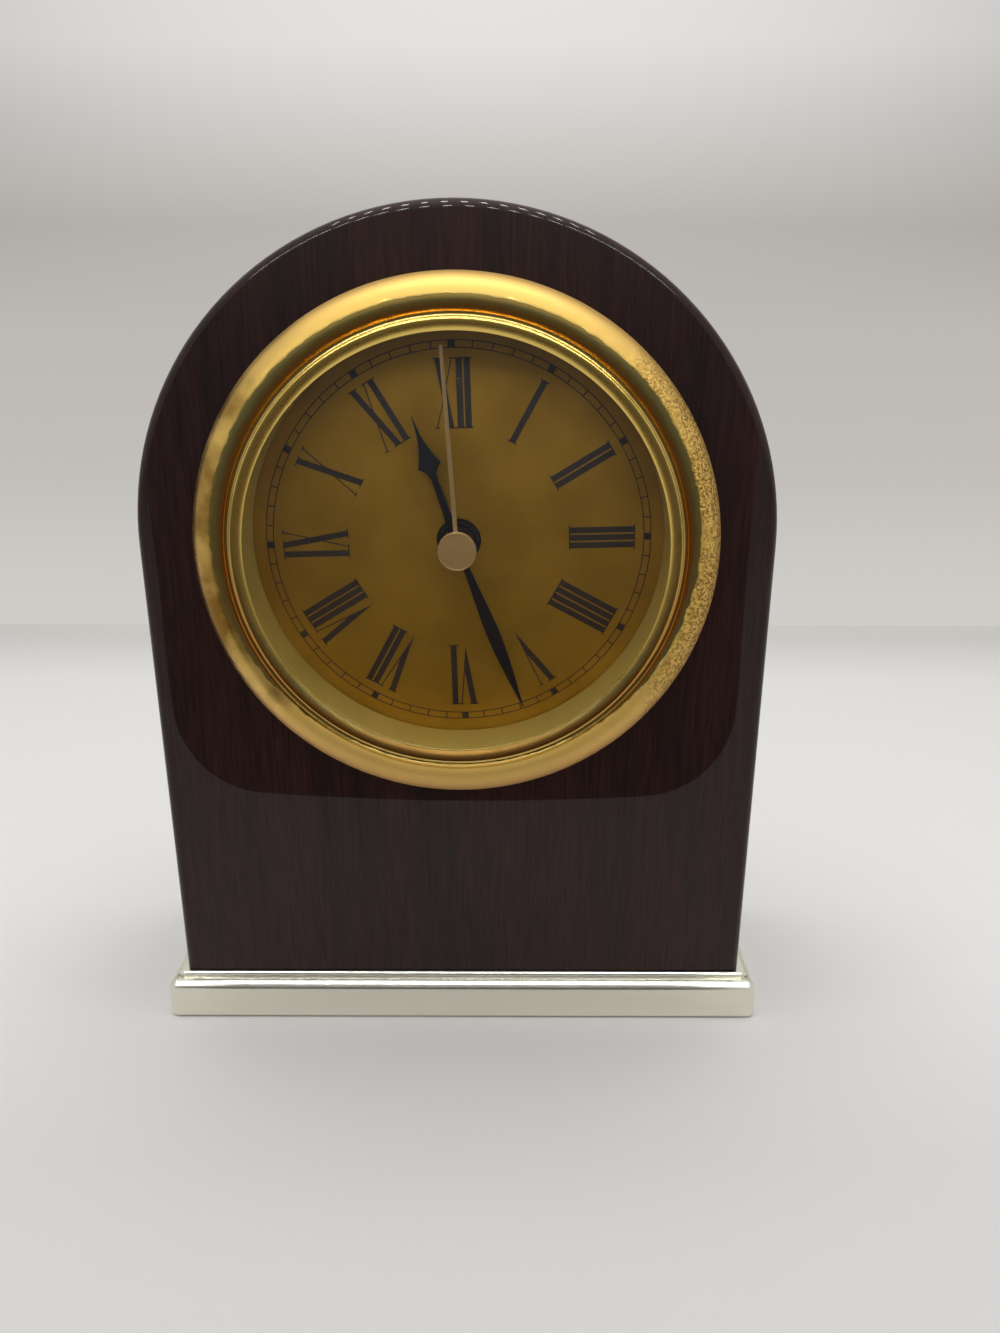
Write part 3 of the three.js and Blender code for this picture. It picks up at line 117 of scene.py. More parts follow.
def add_node(tree, kind, settings=(), links=()):
    made = tree.nodes.new("ShaderNode" + kind)
    for name, value in dict(settings).items():
        if name == "stops":
            ends = made.color_ramp.elements
            ends[0].position, ends[1].position = value[0][0], value[-1][0]
            ends[0].color, ends[1].color = linear(value[0][1]), linear(value[-1][1])
            for place, colour in value[1:-1]:
                ends.new(place).color = linear(colour)
        elif isinstance(name, str) and hasattr(made, name):
            setattr(made, name, value)
        else:
            made.inputs[name].default_value = value
    for name, source in dict(links).items():
        tree.links.new(source, made.inputs[name])
    return made


def new_material(name):
    material = bpy.data.materials.new(name)
    material.use_nodes = True
    material.node_tree.nodes.clear()
    return material, material.node_tree


# %% [markdown]
# ## The common build of a finish
# Most finishes are one substance with small changes in it. A soft noise of a real size in millimetres
# moves the colour between two tones, the roughness between two values and, where the surface has any
# relief, the height. Only the numbers differ from one finish to the next, so one function makes all.

# %% Finish of one substance
def finish(name, tones, roughness, size, stretch=(1, 1, 1), relief=0.0, brushed="", **sockets):
    """size and relief are in mm; brushed names the axis that the brush lines run along."""
    material, tree = new_material(name)
    place = add_node(tree, "TexCoord").outputs["Object"]
    scaled = add_node(tree, "Mapping", {"Scale": stretch}, {"Vector": place}).outputs[0]
    noise = add_node(
        tree, "TexNoise", {"Scale": 1 / (size * MM), "Detail": 4.0, "Roughness": 0.6}, {"Vector": scaled}
    ).outputs["Fac"]
    ramp = add_node(tree, "ValToRGB", {"stops": [(0.35, tones[0]), (0.65, tones[1])]}, {"Fac": noise})
    rough = add_node(
        tree, "MapRange",
        {"From Min": 0.3, "From Max": 0.7, "To Min": roughness[0], "To Max": roughness[1]},
        {"Value": noise},
    )
    links = {"Base Color": ramp.outputs["Color"], "Roughness": rough.outputs[0]}
    if relief:
        bump = add_node(tree, "Bump", {"Strength": 1.0, "Distance": relief * MM}, {"Height": noise})
        links["Normal"] = bump.outputs[0]
    if brushed:
        tangent = add_node(tree, "Tangent", {"direction_type": "RADIAL", "axis": brushed})
        links["Tangent"] = tangent.outputs[0]
    settings = {key.replace("_", " "): value for key, value in sockets.items()}
    shader = add_node(tree, "BsdfPrincipled", settings, links)
    add_node(tree, "OutputMaterial", {}, {"Surface": shader.outputs[0]})
    return material


# %% [markdown]
# ## Rosewood finish
# The case is wood stained dark red-brown, with long straight grain, under a thick polished lacquer. The
# eye sees three things: broad bands where the stain took more or less, fine dark pores along the
# grain, and over both a mirror coat that reflects the room. A wood picture could be wrapped round the
# block, but would show its edges. A noise in space, fine across the wood and long in the upright
# direction, runs round the sides by itself and shows as end grain on top.

# %% Rosewood material
BAND_SIZE = (7, 12, 90)  # mm across, into and along the wood
PORE_SIZE = (0.5, 0.9, 12)  # real pores are about 0.2 mm wide, too fine to show, so these are coarser


def rosewood():
    material, tree = new_material("lacquered_rosewood")
    place = add_node(tree, "TexCoord").outputs["Object"]
    band_place = add_node(
        tree, "Mapping", {"Scale": [1 / (side * MM) for side in BAND_SIZE]}, {"Vector": place}
    ).outputs[0]
    bands = add_node(
        tree, "TexNoise", {"Scale": 1.0, "Detail": 5.0, "Roughness": 0.65, "Distortion": 0.6},
        {"Vector": band_place},
    ).outputs["Fac"]
    stain = add_node(tree, "ValToRGB", {"stops": [(0.3, "#21130F"), (0.72, "#391B18")]}, {"Fac": bands})
    pore_place = add_node(
        tree, "Mapping", {"Scale": [1 / (side * MM) for side in PORE_SIZE]}, {"Vector": place}
    ).outputs[0]
    pores = add_node(
        tree, "TexNoise", {"Scale": 1.0, "Detail": 3.0, "Roughness": 0.7}, {"Vector": pore_place}
    ).outputs["Fac"]
    streak = add_node(tree, "ValToRGB", {"stops": [(0.34, "#B4A8A6"), (0.6, "#FFFFFF")]}, {"Fac": pores})
    wood = add_node(
        tree, "VectorMath", {"operation": "MULTIPLY"}, {0: stain.outputs[0], 1: streak.outputs[0]}
    )
    shader = add_node(
        tree, "BsdfPrincipled",
        {
            "Roughness": 0.5, "Specular IOR Level": 0.1,
            "Coat Weight": 1.0, "Coat Roughness": 0.015, "Coat IOR": 1.3,
        },
        {"Base Color": wood.outputs[0]},
    )
    add_node(tree, "OutputMaterial", {}, {"Surface": shader.outputs[0]})
    return material


# %% [markdown]
# ## Two finishes on one brass ring
# The bead and the cove of the bezel are polished. The outer roll has a satin grain, which is smoother on
# the left and pitted on the right, as if worn by the hand that picks the clock up, and its left side is
# painted darker as painted shade. The ring could be cut into two pieces with a finish each, but the real
# change is gradual. So one material reads the distance from the dial axis, for the zones, and the side,
# for the wear and the painted shade.

# %% Zones of the bezel
SATIN_LIFT = 1.4 * MM  # in the photograph the satin ring lies a little high of the dial axis
SATIN_WIDER = 0.98  # and is a little wider than it is high
SATIN_FROM = 39.3 * MM
DENT_SIZE = 2.2 * MM  # shallow dents, which make the edges between the zones wander
DENT_SHIFT = 0.8 * MM  # a dent adds up to this to the radius, and 0.4 mm on average
WEAR_SIZE = 12 * MM


def bezel_zones(tree):
    """The place on the bezel, its radius, the dents, the share of satin and the way across, for the wear
    and the painted shade.
    """
    place = add_node(tree, "TexCoord").outputs["Object"]
    flat = add_node(
        tree, "Mapping", {"Location": (0, 0, -AXIS - SATIN_LIFT), "Scale": (SATIN_WIDER, 0, 1)},
        {"Vector": place},
    ).outputs[0]
    true_radius = add_node(tree, "VectorMath", {"operation": "LENGTH"}, {0: flat}).outputs["Value"]
    dents = add_node(
        tree, "TexNoise", {"Scale": 1 / DENT_SIZE, "Detail": 1.0}, {"Vector": place}
    ).outputs["Fac"]
    radius = add_node(
        tree, "Math", {"operation": "MULTIPLY_ADD", 1: DENT_SHIFT}, {0: dents, 2: true_radius}
    ).outputs[0]
    satin = add_node(
        tree, "MapRange", {"From Min": SATIN_FROM + 0.2 * MM, "From Max": SATIN_FROM + 0.6 * MM},
        {"Value": radius},
    ).outputs[0]
    worn = add_node(
        tree, "TexNoise", {"Scale": 1 / WEAR_SIZE, "Detail": 4.0}, {"Vector": place}
    ).outputs["Fac"]
    sideways = add_node(tree, "SeparateXYZ", {}, {"Vector": place}).outputs["X"]
    wander = add_node(
        tree, "Math", {"operation": "MULTIPLY_ADD", 1: 50 * MM}, {0: worn, 2: sideways}
    ).outputs[0]
    return place, radius, dents, satin, wander


# %% [markdown]
# ## Tone of the brass, with painted reflections
# Polished brass shows little colour of its own: it mirrors light and dark bands of the room. Those bands
# could come from a modelled room, which isn't known here, so most of them are painted into the metal as
# painted reflections, a tone for each distance from the axis, from the bead at 35.2 mm to the roll's
# outer side at 44 mm. The roll's left side is painted darker, as painted shade, and the sand pits are
# darker.

# %% Tone of the bezel
TONE_FROM, TONE_TO = 35.2 * MM, 44 * MM
# painted reflections: light and dark bands of the room, set as a tone for each distance from the axis
PAINTED_REFLECTION_TONES = [
    (0.0, "#F2D070"), (0.114, "#EEC868"), (0.16, "#C9AE66"),  # the bead and its outer flank
    (0.24, "#CC9C4C"), (0.307, "#CE9448"), (0.375, "#CCA254"),  # the cove
    (0.43, "#D8BE70"), (0.5, "#E2C670"), (0.54, "#DFB85E"),  # the roll's inner side, up to its crest
    (0.78, "#E2BC6A"), (1.0, "#D8AA66"),  # the roll's outer side
]
# painted shade: this tone darkens the satin on the roll's left side
LEFT_SHADE_TONE = "#9A8A62"
PIT_TONE = "#94845E"


def bezel_tone(tree, radius, satin, wander, sand, pitted):
    across = add_node(
        tree, "MapRange", {"From Min": TONE_FROM, "From Max": TONE_TO}, {"Value": radius}
    ).outputs[0]
    tone = add_node(tree, "ValToRGB", {"stops": PAINTED_REFLECTION_TONES}, {"Fac": across}).outputs["Color"]
    # painted shade: the satin on the left of the roll is multiplied by a darker tone
    shaded_left = add_node(
        tree, "MapRange", {"From Min": -9 * MM, "From Max": -20 * MM}, {"Value": wander}
    ).outputs[0]
    left_shade = add_node(tree, "Math", {"operation": "MULTIPLY"}, {0: shaded_left, 1: satin}).outputs[0]
    tone = add_node(
        tree, "MixRGB", {"blend_type": "MULTIPLY", "Color2": linear(LEFT_SHADE_TONE)},
        {"Fac": left_shade, "Color1": tone},
    ).outputs[0]
    pits = add_node(
        tree, "ValToRGB", {"stops": [(0.38, PIT_TONE), (0.6, "#FFFFFF")]}, {"Fac": sand}
    ).outputs["Color"]
    return add_node(
        tree, "MixRGB", {"blend_type": "MULTIPLY"}, {"Fac": pitted, "Color1": tone, "Color2": pits}
    ).outputs[0]


# %% Bezel material
SAND_SIZE = 0.45 * MM  # the real grain is finer than 0.2 mm, too fine to show, so this is coarser
RELIEF = 0.3 * MM
DENT_SHARE = 0.2


def bezel_brass():
    material, tree = new_material("brass_with_painted_reflections")
    place, radius, dents, satin, wander = bezel_zones(tree)
    sand = add_node(
        tree, "TexNoise", {"Scale": 1 / SAND_SIZE, "Detail": 2.0, "Roughness": 0.6}, {"Vector": place}
    ).outputs["Fac"]
    handled = add_node(
        tree, "MapRange", {"From Min": 52 * MM, "From Max": 64 * MM}, {"Value": wander}
    ).outputs[0]
    pitted = add_node(tree, "Math", {"operation": "MULTIPLY"}, {0: handled, 1: satin}).outputs[0]
    tone = bezel_tone(tree, radius, satin, wander, sand, pitted)

    # the roll is rougher to the right, and the bead a little rougher than the cove
    grain = add_node(
        tree, "MapRange", {"From Min": -16 * MM, "From Max": 0.0, "To Min": 0.26, "To Max": 0.55},
        {"Value": wander},
    ).outputs[0]
    polish = add_node(
        tree, "MapRange", {"From Min": 37.2 * MM, "From Max": 39 * MM, "To Min": 0.22, "To Max": 0.12},
        {"Value": radius},
    ).outputs[0]
    rough = add_node(
        tree, "MapRange", {}, {"Value": satin, "To Min": polish, "To Max": grain}
    ).outputs[0]
    metal = add_node(tree, "MapRange", {"To Min": 1.0, "To Max": 0.8}, {"Value": satin}).outputs[0]

    # sand relief where the roll is handled, and the wider dents all over the roll
    strength = add_node(tree, "MapRange", {"To Min": 0.03, "To Max": 1.0}, {"Value": handled}).outputs[0]
    fine = add_node(tree, "Math", {"operation": "MULTIPLY"}, {0: sand, 1: strength}).outputs[0]
    both = add_node(
        tree, "Math", {"operation": "MULTIPLY_ADD", 1: DENT_SHARE}, {0: dents, 2: fine}
    ).outputs[0]
    height = add_node(tree, "Math", {"operation": "MULTIPLY"}, {0: both, 1: satin}).outputs[0]
    bump = add_node(tree, "Bump", {"Strength": 1.0, "Distance": RELIEF}, {"Height": height}).outputs[0]
    shader = add_node(
        tree, "BsdfPrincipled", {},
        {"Base Color": tone, "Roughness": rough, "Normal": bump, "Metallic": metal},
    )
    add_node(tree, "OutputMaterial", {}, {"Surface": shader.outputs[0]})
    return material


# %% [markdown]
# ## Glass
# The crystal is a flat disc of mineral glass, polished on both faces. It could be left as plain glass,
# but a path tracer gets little light through it, so rays that look for a lamp pass it freely and the
# dial behind stays lit as it is in life.

# %% Glass material
def clear_glass():
    material, tree = new_material("mineral_glass")
    glass = add_node(tree, "BsdfPrincipled", {"Roughness": 0.0, "IOR": 1.5, "Transmission Weight": 1.0})
    opening = add_node(tree, "BsdfTransparent")
    lamp_ray = add_node(tree, "LightPath").outputs["Is Shadow Ray"]
    mix = add_node(tree, "MixShader", {}, {0: lamp_ray, 1: glass.outputs[0], 2: opening.outputs[0]})
    add_node(tree, "OutputMaterial", {}, {"Surface": mix.outputs[0]})
    return material


# %% [markdown]
# ## All the finishes
# Each slot of the record names a substance, and the list below gives each its build. Sizes are those
# of the real texture: grit of a mould, brush lines of a plated sheet, hairs of felt.

# %% Materials by slot
MATERIALS = {
    "rosewood": rosewood(),
    # nickel plate on pressed steel, brushed along its length: pale, faintly warm, with wide soft
    # highlights where plain nickel would show a mirror
    "silver_metal": finish(
        "nickel_plated_steel", ("#EAE8D8", "#EDEBDC"), (0.2, 0.24), 1.2, stretch=(0.05, 1, 1),
        brushed="X", Metallic=1.0, Anisotropic=0.7,
    ),
    # polished and lacquered brass: deep gold, almost a mirror, with faint wipe marks
    "gold_metal": finish(
        "polished_brass", ("#E9BA55", "#F2CA66"), (0.08, 0.14), 2.5, relief=0.001, Metallic=1.0
    ),
    # pale gilt on the seconds hand and its cap: an even soft gloss
    "pale_gilt": finish("pale_gilt", ("#BE9A60", "#C2A066"), (0.28, 0.3), 4.0, Metallic=0.5),
    # satin gilt sheet under clear varnish: a gold that stays even as the light moves over it
    "dial_gold": finish("satin_gilt_sheet", ("#AB811C", "#B78B25"), (0.36, 0.42), 9.0, Metallic=0.75),
    # gilt-lacquered moulded plastic: paler than the dial and silky
    "cream_plastic": finish(
        "gilt_lacquered_plastic", ("#AE9A4C", "#B6A254"), (0.32, 0.42), 2.0, Metallic=0.3
    ),
    # mineral glass: clear, seen only by what it mirrors
    "glass": clear_glass(),
    # stamped steel under black lacquer: deep black with a soft line of light
    "black_metal": finish("black_lacquered_steel", ("#08080B", "#0B0B0F"), (0.3, 0.34), 3.0),
    # moulded ABS: dull black with the fine spark-eroded grain of its mould
    "black_plastic": finish(
        "moulded_black_ABS", ("#121214", "#1A1A1D"), (0.42, 0.56), 0.25, relief=0.012
    ),
    # moulded acetal: waxy white
    "white_plastic": finish("moulded_acetal", ("#DAD8CE", "#E6E4DB"), (0.35, 0.45), 0.5),
    # grey ABS with the same grain as the black
    "grey_plastic": finish(
        "moulded_grey_ABS", ("#A4A4A6", "#B2B2B4"), (0.45, 0.55), 0.25, relief=0.01
    ),
    # rolled sheet brass and drawn steel: streaked along the way they were worked
    "brass": finish(
        "rolled_brass_sheet", ("#A37F35", "#BD9849"), (0.25, 0.4), 0.3, stretch=(1, 1, 0.1), Metallic=1.0
    ),
    "steel": finish(
        "bright_steel", ("#8E8E92", "#A6A6A9"), (0.25, 0.4), 0.3, stretch=(0.15, 1, 1), Metallic=1.0
    ),
    # wound wire: fine turns across the coil under a clear enamel
    "copper": finish(
        "enamelled_copper_wire", ("#8A4420", "#B5683A"), (0.25, 0.35), 0.12, stretch=(1, 0.05, 0.05)
    ),
    # glass-epoxy board: green lacquer, faintly uneven over the glass cloth
    "board_green": finish(
        "glass_epoxy_board", ("#174A2B", "#205C37"), (0.4, 0.55), 0.4, relief=0.004
    ),
    # foil round the cell: dark, slightly metallic and plain
    "cell_jacket": finish(
        "printed_foil_jacket", ("#2E3238", "#3C4149"), (0.25, 0.4), 1.5, Metallic=0.4
    ),
    # pressed wool felt: matt, with short hairs in every direction
    "felt": finish(
        "pressed_green_felt", ("#12271B", "#24412E"), (0.9, 1.0), 0.3, relief=0.12, Sheen_Weight=0.4
    ),
    # fibreboard: dry matted fibres
    "fibreboard": finish(
        "fibreboard", ("#82643F", "#A98A60"), (0.85, 0.95), 0.6, stretch=(0.3, 1, 1), relief=0.05
    ),
    # moulded rubber: matt black
    "rubber": finish("moulded_rubber", ("#131313", "#1E1E1E"), (0.75, 0.9), 0.3, relief=0.01),
    # not slots of the record: the bezel's own brass, and the ink of the dial
    "bezel_brass": bezel_brass(),
    "ink": finish("dial_printing_ink", ("#251A0B", "#332512"), (0.4, 0.5), 0.5),
}
print(len(MATERIALS), "finishes")

# %% [markdown]
# ## The CAD's own pieces
# Most pieces, such as the wheels, the cover and the knobs, already have their true shape. They could
# be made again, but they keep that shape and only get the finish of their slot.

# %% Finishes on the CAD nodes
for row in frame["record"]["subparts"]:
    solid = frame["nodes"][row["node"]]
    solid.data.materials.clear()
    solid.data.materials.append(MATERIALS[row["material_slot"]])
print(len(frame["nodes"]), "nodes dressed")

# %% [markdown]
# ## From a mesh to a finished piece
# A piece is shaped in a bmesh, then becomes an object that rides on its body and stands for its CAD
# node. Its faces are smooth but for true creases, and normals weighted by area keep the flat faces
# flat next to their small rounded edges, which matters most under a mirror lacquer.

# %% Piece helper
def finished(name, bm, slot, body="case", stands_for=(), crease=40, wall=0.0):
    mesh = bpy.data.meshes.new(name)
    bm.to_mesh(mesh)
    bm.free()
    mesh.materials.append(MATERIALS[slot])
    mesh.shade_smooth()
    mesh.set_sharp_from_angle(angle=radians(crease))
    made = bpy.data.objects.new(name, mesh)
    bpy.context.scene.collection.objects.link(made)
    if wall:
        thick = made.modifiers.new("wall", "SOLIDIFY")
        thick.thickness = wall
        thick.offset = -1
    even = made.modifiers.new("even_shading", "WEIGHTED_NORMAL")
    even.keep_sharp = True
    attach(made, body)
    if stands_for:
        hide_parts(*stands_for)
    print(name, len(mesh.polygons), "faces")
    return made


def rounded(bm, edges, radius, segments):
    """Rounds edges with a circular profile."""
    bmesh.ops.bevel(
        bm, geom=edges, offset=radius, offset_type="OFFSET", segments=segments, profile=0.5,
        affect="EDGES", clamp_overlap=False, material=-1,
    )


def upright(edge, axis):
    """True if the edge runs along the given axis."""
    along = (edge.verts[0].co - edge.verts[1].co).normalized()
    return abs(along[axis]) > 0.999


SHARP = 1.0  # radians between two faces, past which their edge is a true crease


def sharp(edge):
    return edge.is_manifold and edge.calc_face_angle(0) > SHARP


def verts_of(geom):
    return [g for g in geom if isinstance(g, bmesh.types.BMVert)]


def edges_of(geom):
    return [g for g in geom if isinstance(g, bmesh.types.BMEdge)]


def absorb(bm, part):
    """Adds one bmesh to another."""
    mesh = bpy.data.meshes.new("part")
    part.to_mesh(mesh)
    part.free()
    bm.from_mesh(mesh)
    bpy.data.meshes.remove(mesh)


# %% [markdown]
# ## The case
# The real case is a thick board sawn to an arch, with softly rounded edges and a square-cut foot, bored
# through for the insert. It could be cut from a box with booleans, but a spun vertex gives a cleaner
# arch: it sweeps half a circle, two more vertices close it below, the bore is a circle in the same
# plane, and a bridge between the two loops makes the face. One extrusion gives it depth, bevels round
# the edges, and last the foot is cut off flat, as the saw does.

# %% Case
HALF = case_high.x
ARCH = case_high.z - HALF
BORE = 39.05 * MM
BLANK_LOW = -10 * MM  # the blank reaches below the foot, where it is cut off
ARCH_STEPS = 72
EDGE_ROUND, BORE_ROUND = 1.5 * MM, 0.25 * MM

bm = bmesh.new()
spring = bm.verts.new((HALF, FACE, ARCH))
bmesh.ops.spin(bm, geom=[spring], cent=(0, FACE, ARCH), axis=(0, -1, 0), angle=pi, steps=ARCH_STEPS)
far_end = min(bm.verts, key=lambda v: v.co.x)
feet = [bm.verts.new((side * HALF, FACE, BLANK_LOW)) for side in (-1, 1)]
straight = [bm.edges.new(pair) for pair in ((far_end, feet[0]), (feet[0], feet[1]), (feet[1], spring))]
bmesh.ops.subdivide_edges(bm, edges=straight, cuts=ARCH_STEPS // 3 - 1)
bmesh.ops.create_circle(
    bm, radius=BORE, segments=2 * ARCH_STEPS,
    matrix=Matrix.Translation((0, FACE, AXIS)) @ Matrix.Rotation(pi / 2, 4, "X"),
)
bmesh.ops.bridge_loops(bm, edges=bm.edges[:])
extruded = bmesh.ops.extrude_face_region(bm, geom=bm.faces[:])
bmesh.ops.translate(bm, vec=(0, case_high.y - FACE, 0), verts=verts_of(extruded["geom"]))
bmesh.ops.recalc_face_normals(bm, faces=bm.faces[:])


def from_axis(vertex):
    return Vector((vertex.co.x, 0, vertex.co.z - AXIS)).length


def sharp_rims():
    """The sharp edges of the board's two faces, without those that run through the wood."""
    return [e for e in bm.edges if sharp(e) and not upright(e, 1)]


rounded(bm, [e for e in sharp_rims() if from_axis(e.verts[0]) > BORE + MM], EDGE_ROUND, 6)
rounded(bm, [e for e in sharp_rims() if from_axis(e.verts[0]) < BORE + 0.1 * MM], BORE_ROUND, 2)
sawn = bmesh.ops.bisect_plane(
    bm, geom=bm.verts[:] + bm.edges[:] + bm.faces[:], plane_co=(0, 0, case_low.z), plane_no=(0, 0, -1),
    clear_outer=True,
)
bmesh.ops.holes_fill(bm, edges=edges_of(sawn["geom_cut"]))
finished("case_block", bm, "rosewood", stands_for=("wood_case",), crease=50)

# %% [markdown]
# ## The base
# The base is one pressed sheet: a slab with a lower step on top, all its edges rounded by the die. It
# could be two boxes, one on the other, but the sheet has no seam between them. So a cube gets round
# corners first, then its top is scaled in and lifted for the step, and the two upper outlines are
# rounded. The underside stays open and a Solidify modifier gives the sheet its gauge.

# %% Base
base_low, base_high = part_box("base_shell")
SLAB_TOP = 7.7 * MM
STEP_HALF = Vector((55.8, 19.8)) * MM
CORNER_ROUND, STEP_ROUND, SLAB_ROUND = 1.5 * MM, 0.6 * MM, 1.7 * MM
STEEL_GAUGE = 0.8 * MM
SAME = 1e-6  # two heights this near are the same

bm = bmesh.new()
slab_size = Vector((base_high.x - base_low.x, base_high.y - base_low.y, SLAB_TOP - base_low.z))
bmesh.ops.create_cube(
    bm, size=1,
    matrix=Matrix.Translation((0, 0, (SLAB_TOP + base_low.z) / 2)) @ Matrix.Diagonal((*slab_size, 1)),
)
rounded(bm, [e for e in bm.edges if upright(e, 2)], CORNER_ROUND, 6)
top = max(bm.faces, key=lambda f: f.calc_center_median().z)
ledge = bmesh.ops.extrude_face_region(bm, geom=[top])
bmesh.ops.scale(
    bm, vec=(STEP_HALF.x / base_high.x, STEP_HALF.y / base_high.y, 1), verts=verts_of(ledge["geom"])
)
tops = [f for f in bm.faces if f.calc_center_median().z > SLAB_TOP - SAME and len(f.verts) > 8]
step = bmesh.ops.extrude_face_region(bm, geom=[min(tops, key=lambda f: f.calc_area())])
bmesh.ops.translate(bm, vec=(0, 0, base_high.z - SLAB_TOP), verts=verts_of(step["geom"]))
bmesh.ops.delete(bm, geom=[f for f in bm.faces if f.normal.z < -0.9], context="FACES")
bmesh.ops.recalc_face_normals(bm, faces=bm.faces[:])


def outline_at(height, outside):
    """Creased edges at a height, where outside(co) holds at both ends."""
    return [
        e for e in bm.edges
        if sharp(e) and all(abs(v.co.z - height) < SAME and outside(v.co) for v in e.verts)
    ]


def past_step(co):
    return abs(co.x) > STEP_HALF.x + 0.1 * MM or abs(co.y) > STEP_HALF.y + 0.1 * MM


rounded(bm, outline_at(base_high.z, lambda co: True), STEP_ROUND, 5)
rounded(bm, outline_at(SLAB_TOP, past_step), SLAB_ROUND, 8)
finished("base_pressing", bm, "silver_metal", stands_for=("base_shell",), crease=50, wall=STEEL_GAUGE)

# %% [markdown]
# ## Turned pieces
# Bezel, ring and cap are all round about the dial axis. They could be cylinders with bevels, but a
# turner works from a profile, and so does this: points of radius and depth are spun a full turn. Arcs
# in the profile are worked out from their centre and radius.

# %% Turning helpers
def arc(centre, radius, start, end, steps):
    """Points of radius and depth; 0 degrees points outward and 90 degrees to the front."""
    turn = [radians(start + (end - start) * i / steps) for i in range(steps + 1)]
    return [(centre[0] + radius * cos(a), centre[1] - radius * sin(a)) for a in turn]


def turned(profile, steps=192):
    """A closed profile in mm, spun about the dial axis."""
    bm = bmesh.new()
    verts = [bm.verts.new((r * MM, depth(d), 0)) for r, d in profile]
    edges = [bm.edges.new(pair) for pair in zip(verts, verts[1:] + verts[:1])]
    bmesh.ops.spin(
        bm, geom=verts + edges, cent=(0, 0, 0), axis=(0, 1, 0), angle=2 * pi, steps=steps, use_merge=True
    )
    bmesh.ops.remove_doubles(bm, verts=bm.verts[:], dist=0.001 * MM)
    bmesh.ops.recalc_face_normals(bm, faces=bm.faces[:])
    bmesh.ops.translate(bm, vec=(0, 0, AXIS), verts=bm.verts[:])
    return bm


# %% [markdown]
# ## The bezel
# The bezel is spun from thin brass: a broad outer roll, a narrow cove inside it and a fine bead that
# holds the crystal. It could be a few rings with bevels, but its look lies in its reflections, so the
# profile is dense and true to the arcs, and runs on behind to give the brass its gauge.

# %% Bezel
ROLL, ROLL_RADIUS = (40.0, -1.1), 4.0
COVE, COVE_RADIUS = (37.75, -4.95), 0.75
SHOULDER, SHOULDER_RADIUS = (37.0, -4.74), 0.35
CREST, CREST_RADIUS = (36.866, -3.671), 1.43
SLOPE, SLOPE_RADIUS = (38.729, 0.72), 6.2
INNER_EDGE, SEAT_RADIUS = 35.262, 36.5
LIP_BACK, SEAT_BACK = -4.15, -3.15
BRASS_GAUGE = 0.6

bezel_profile = (
    arc(ROLL, ROLL_RADIUS, -10, 111, 34)  # the roll, from its outer foot to the front
    + arc(COVE, COVE_RADIUS, 350, 238, 14)
    + arc(SHOULDER, SHOULDER_RADIUS, 10, 82, 6)  # the bead, in three arcs
    + arc(CREST, CREST_RADIUS, 84, 111, 10)
    + arc(SLOPE, SLOPE_RADIUS, 113, 124, 8)
    + [(INNER_EDGE, LIP_BACK), (SEAT_RADIUS, LIP_BACK), (SEAT_RADIUS, SEAT_BACK)]  # the crystal's seat
    + [(37.9, SEAT_BACK), (38.3, -3.6)]
    + arc(ROLL, ROLL_RADIUS - BRASS_GAUGE, 108, -12, 16)  # the roll's inner side
)
bezel = finished("bezel_rings", turned(bezel_profile, 256), "gold_metal", stands_for=("bezel",))
bezel.data.materials[0] = MATERIALS["bezel_brass"]

# %% [markdown]
# ## The pale ring
# Between crystal and dial stands a smooth moulded ring with a silky gilt lacquer. Seen from above, its
# lower half catches the light. The CAD solid has its shape in flats, which would show in the gloss, so
# it is turned again with more steps and a small chamfer at the front.

# %% Dial ring
RING_IN, RING_OUT, RING_CHAMFER = 35.75, 36.5, 0.1
ring_low, ring_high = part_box("dial_ring")
ring_front = (ring_low.y - FACE) / MM
ring_back = (ring_high.y - FACE) / MM
ring_profile = [
    (RING_IN, ring_front + RING_CHAMFER), (RING_IN + RING_CHAMFER, ring_front), (RING_OUT, ring_front),
    (RING_OUT, ring_back), (RING_IN, ring_back),
]
finished("pale_ring", turned(ring_profile), "cream_plastic", stands_for=("dial_ring",))

# %% [markdown]
# ## Hands
# The hour and minute hands are stamped from thin steel and lacquered black. They could be flat cut-outs
# with a thickness, but would then mirror the light as one patch. Each blade is drawn by sections: a row
# of three points is extruded from one section to the next, and the middle point stands a little proud,
# as the stamping leaves it. The row is then given thickness.

# %% Blade helper
def smooth_sections(sections, steps):
    """More sections between the given ones, on a curve through them."""
    out = []
    last = len(sections) - 1
    for i in range(last):
        before, start, end, after = (sections[min(max(k, 0), last)] for k in (i - 1, i, i + 1, i + 2))
        for step in range(steps):
            t = step / steps
            out.append(tuple(
                0.5 * (2 * s + (e - b) * t
                       + (2 * b - 5 * s + 4 * e - a) * t**2 + (3 * s - b - 3 * e + a) * t**3)
                for b, s, e, a in zip(before, start, end, after)
            ))
    return out + [sections[-1]]


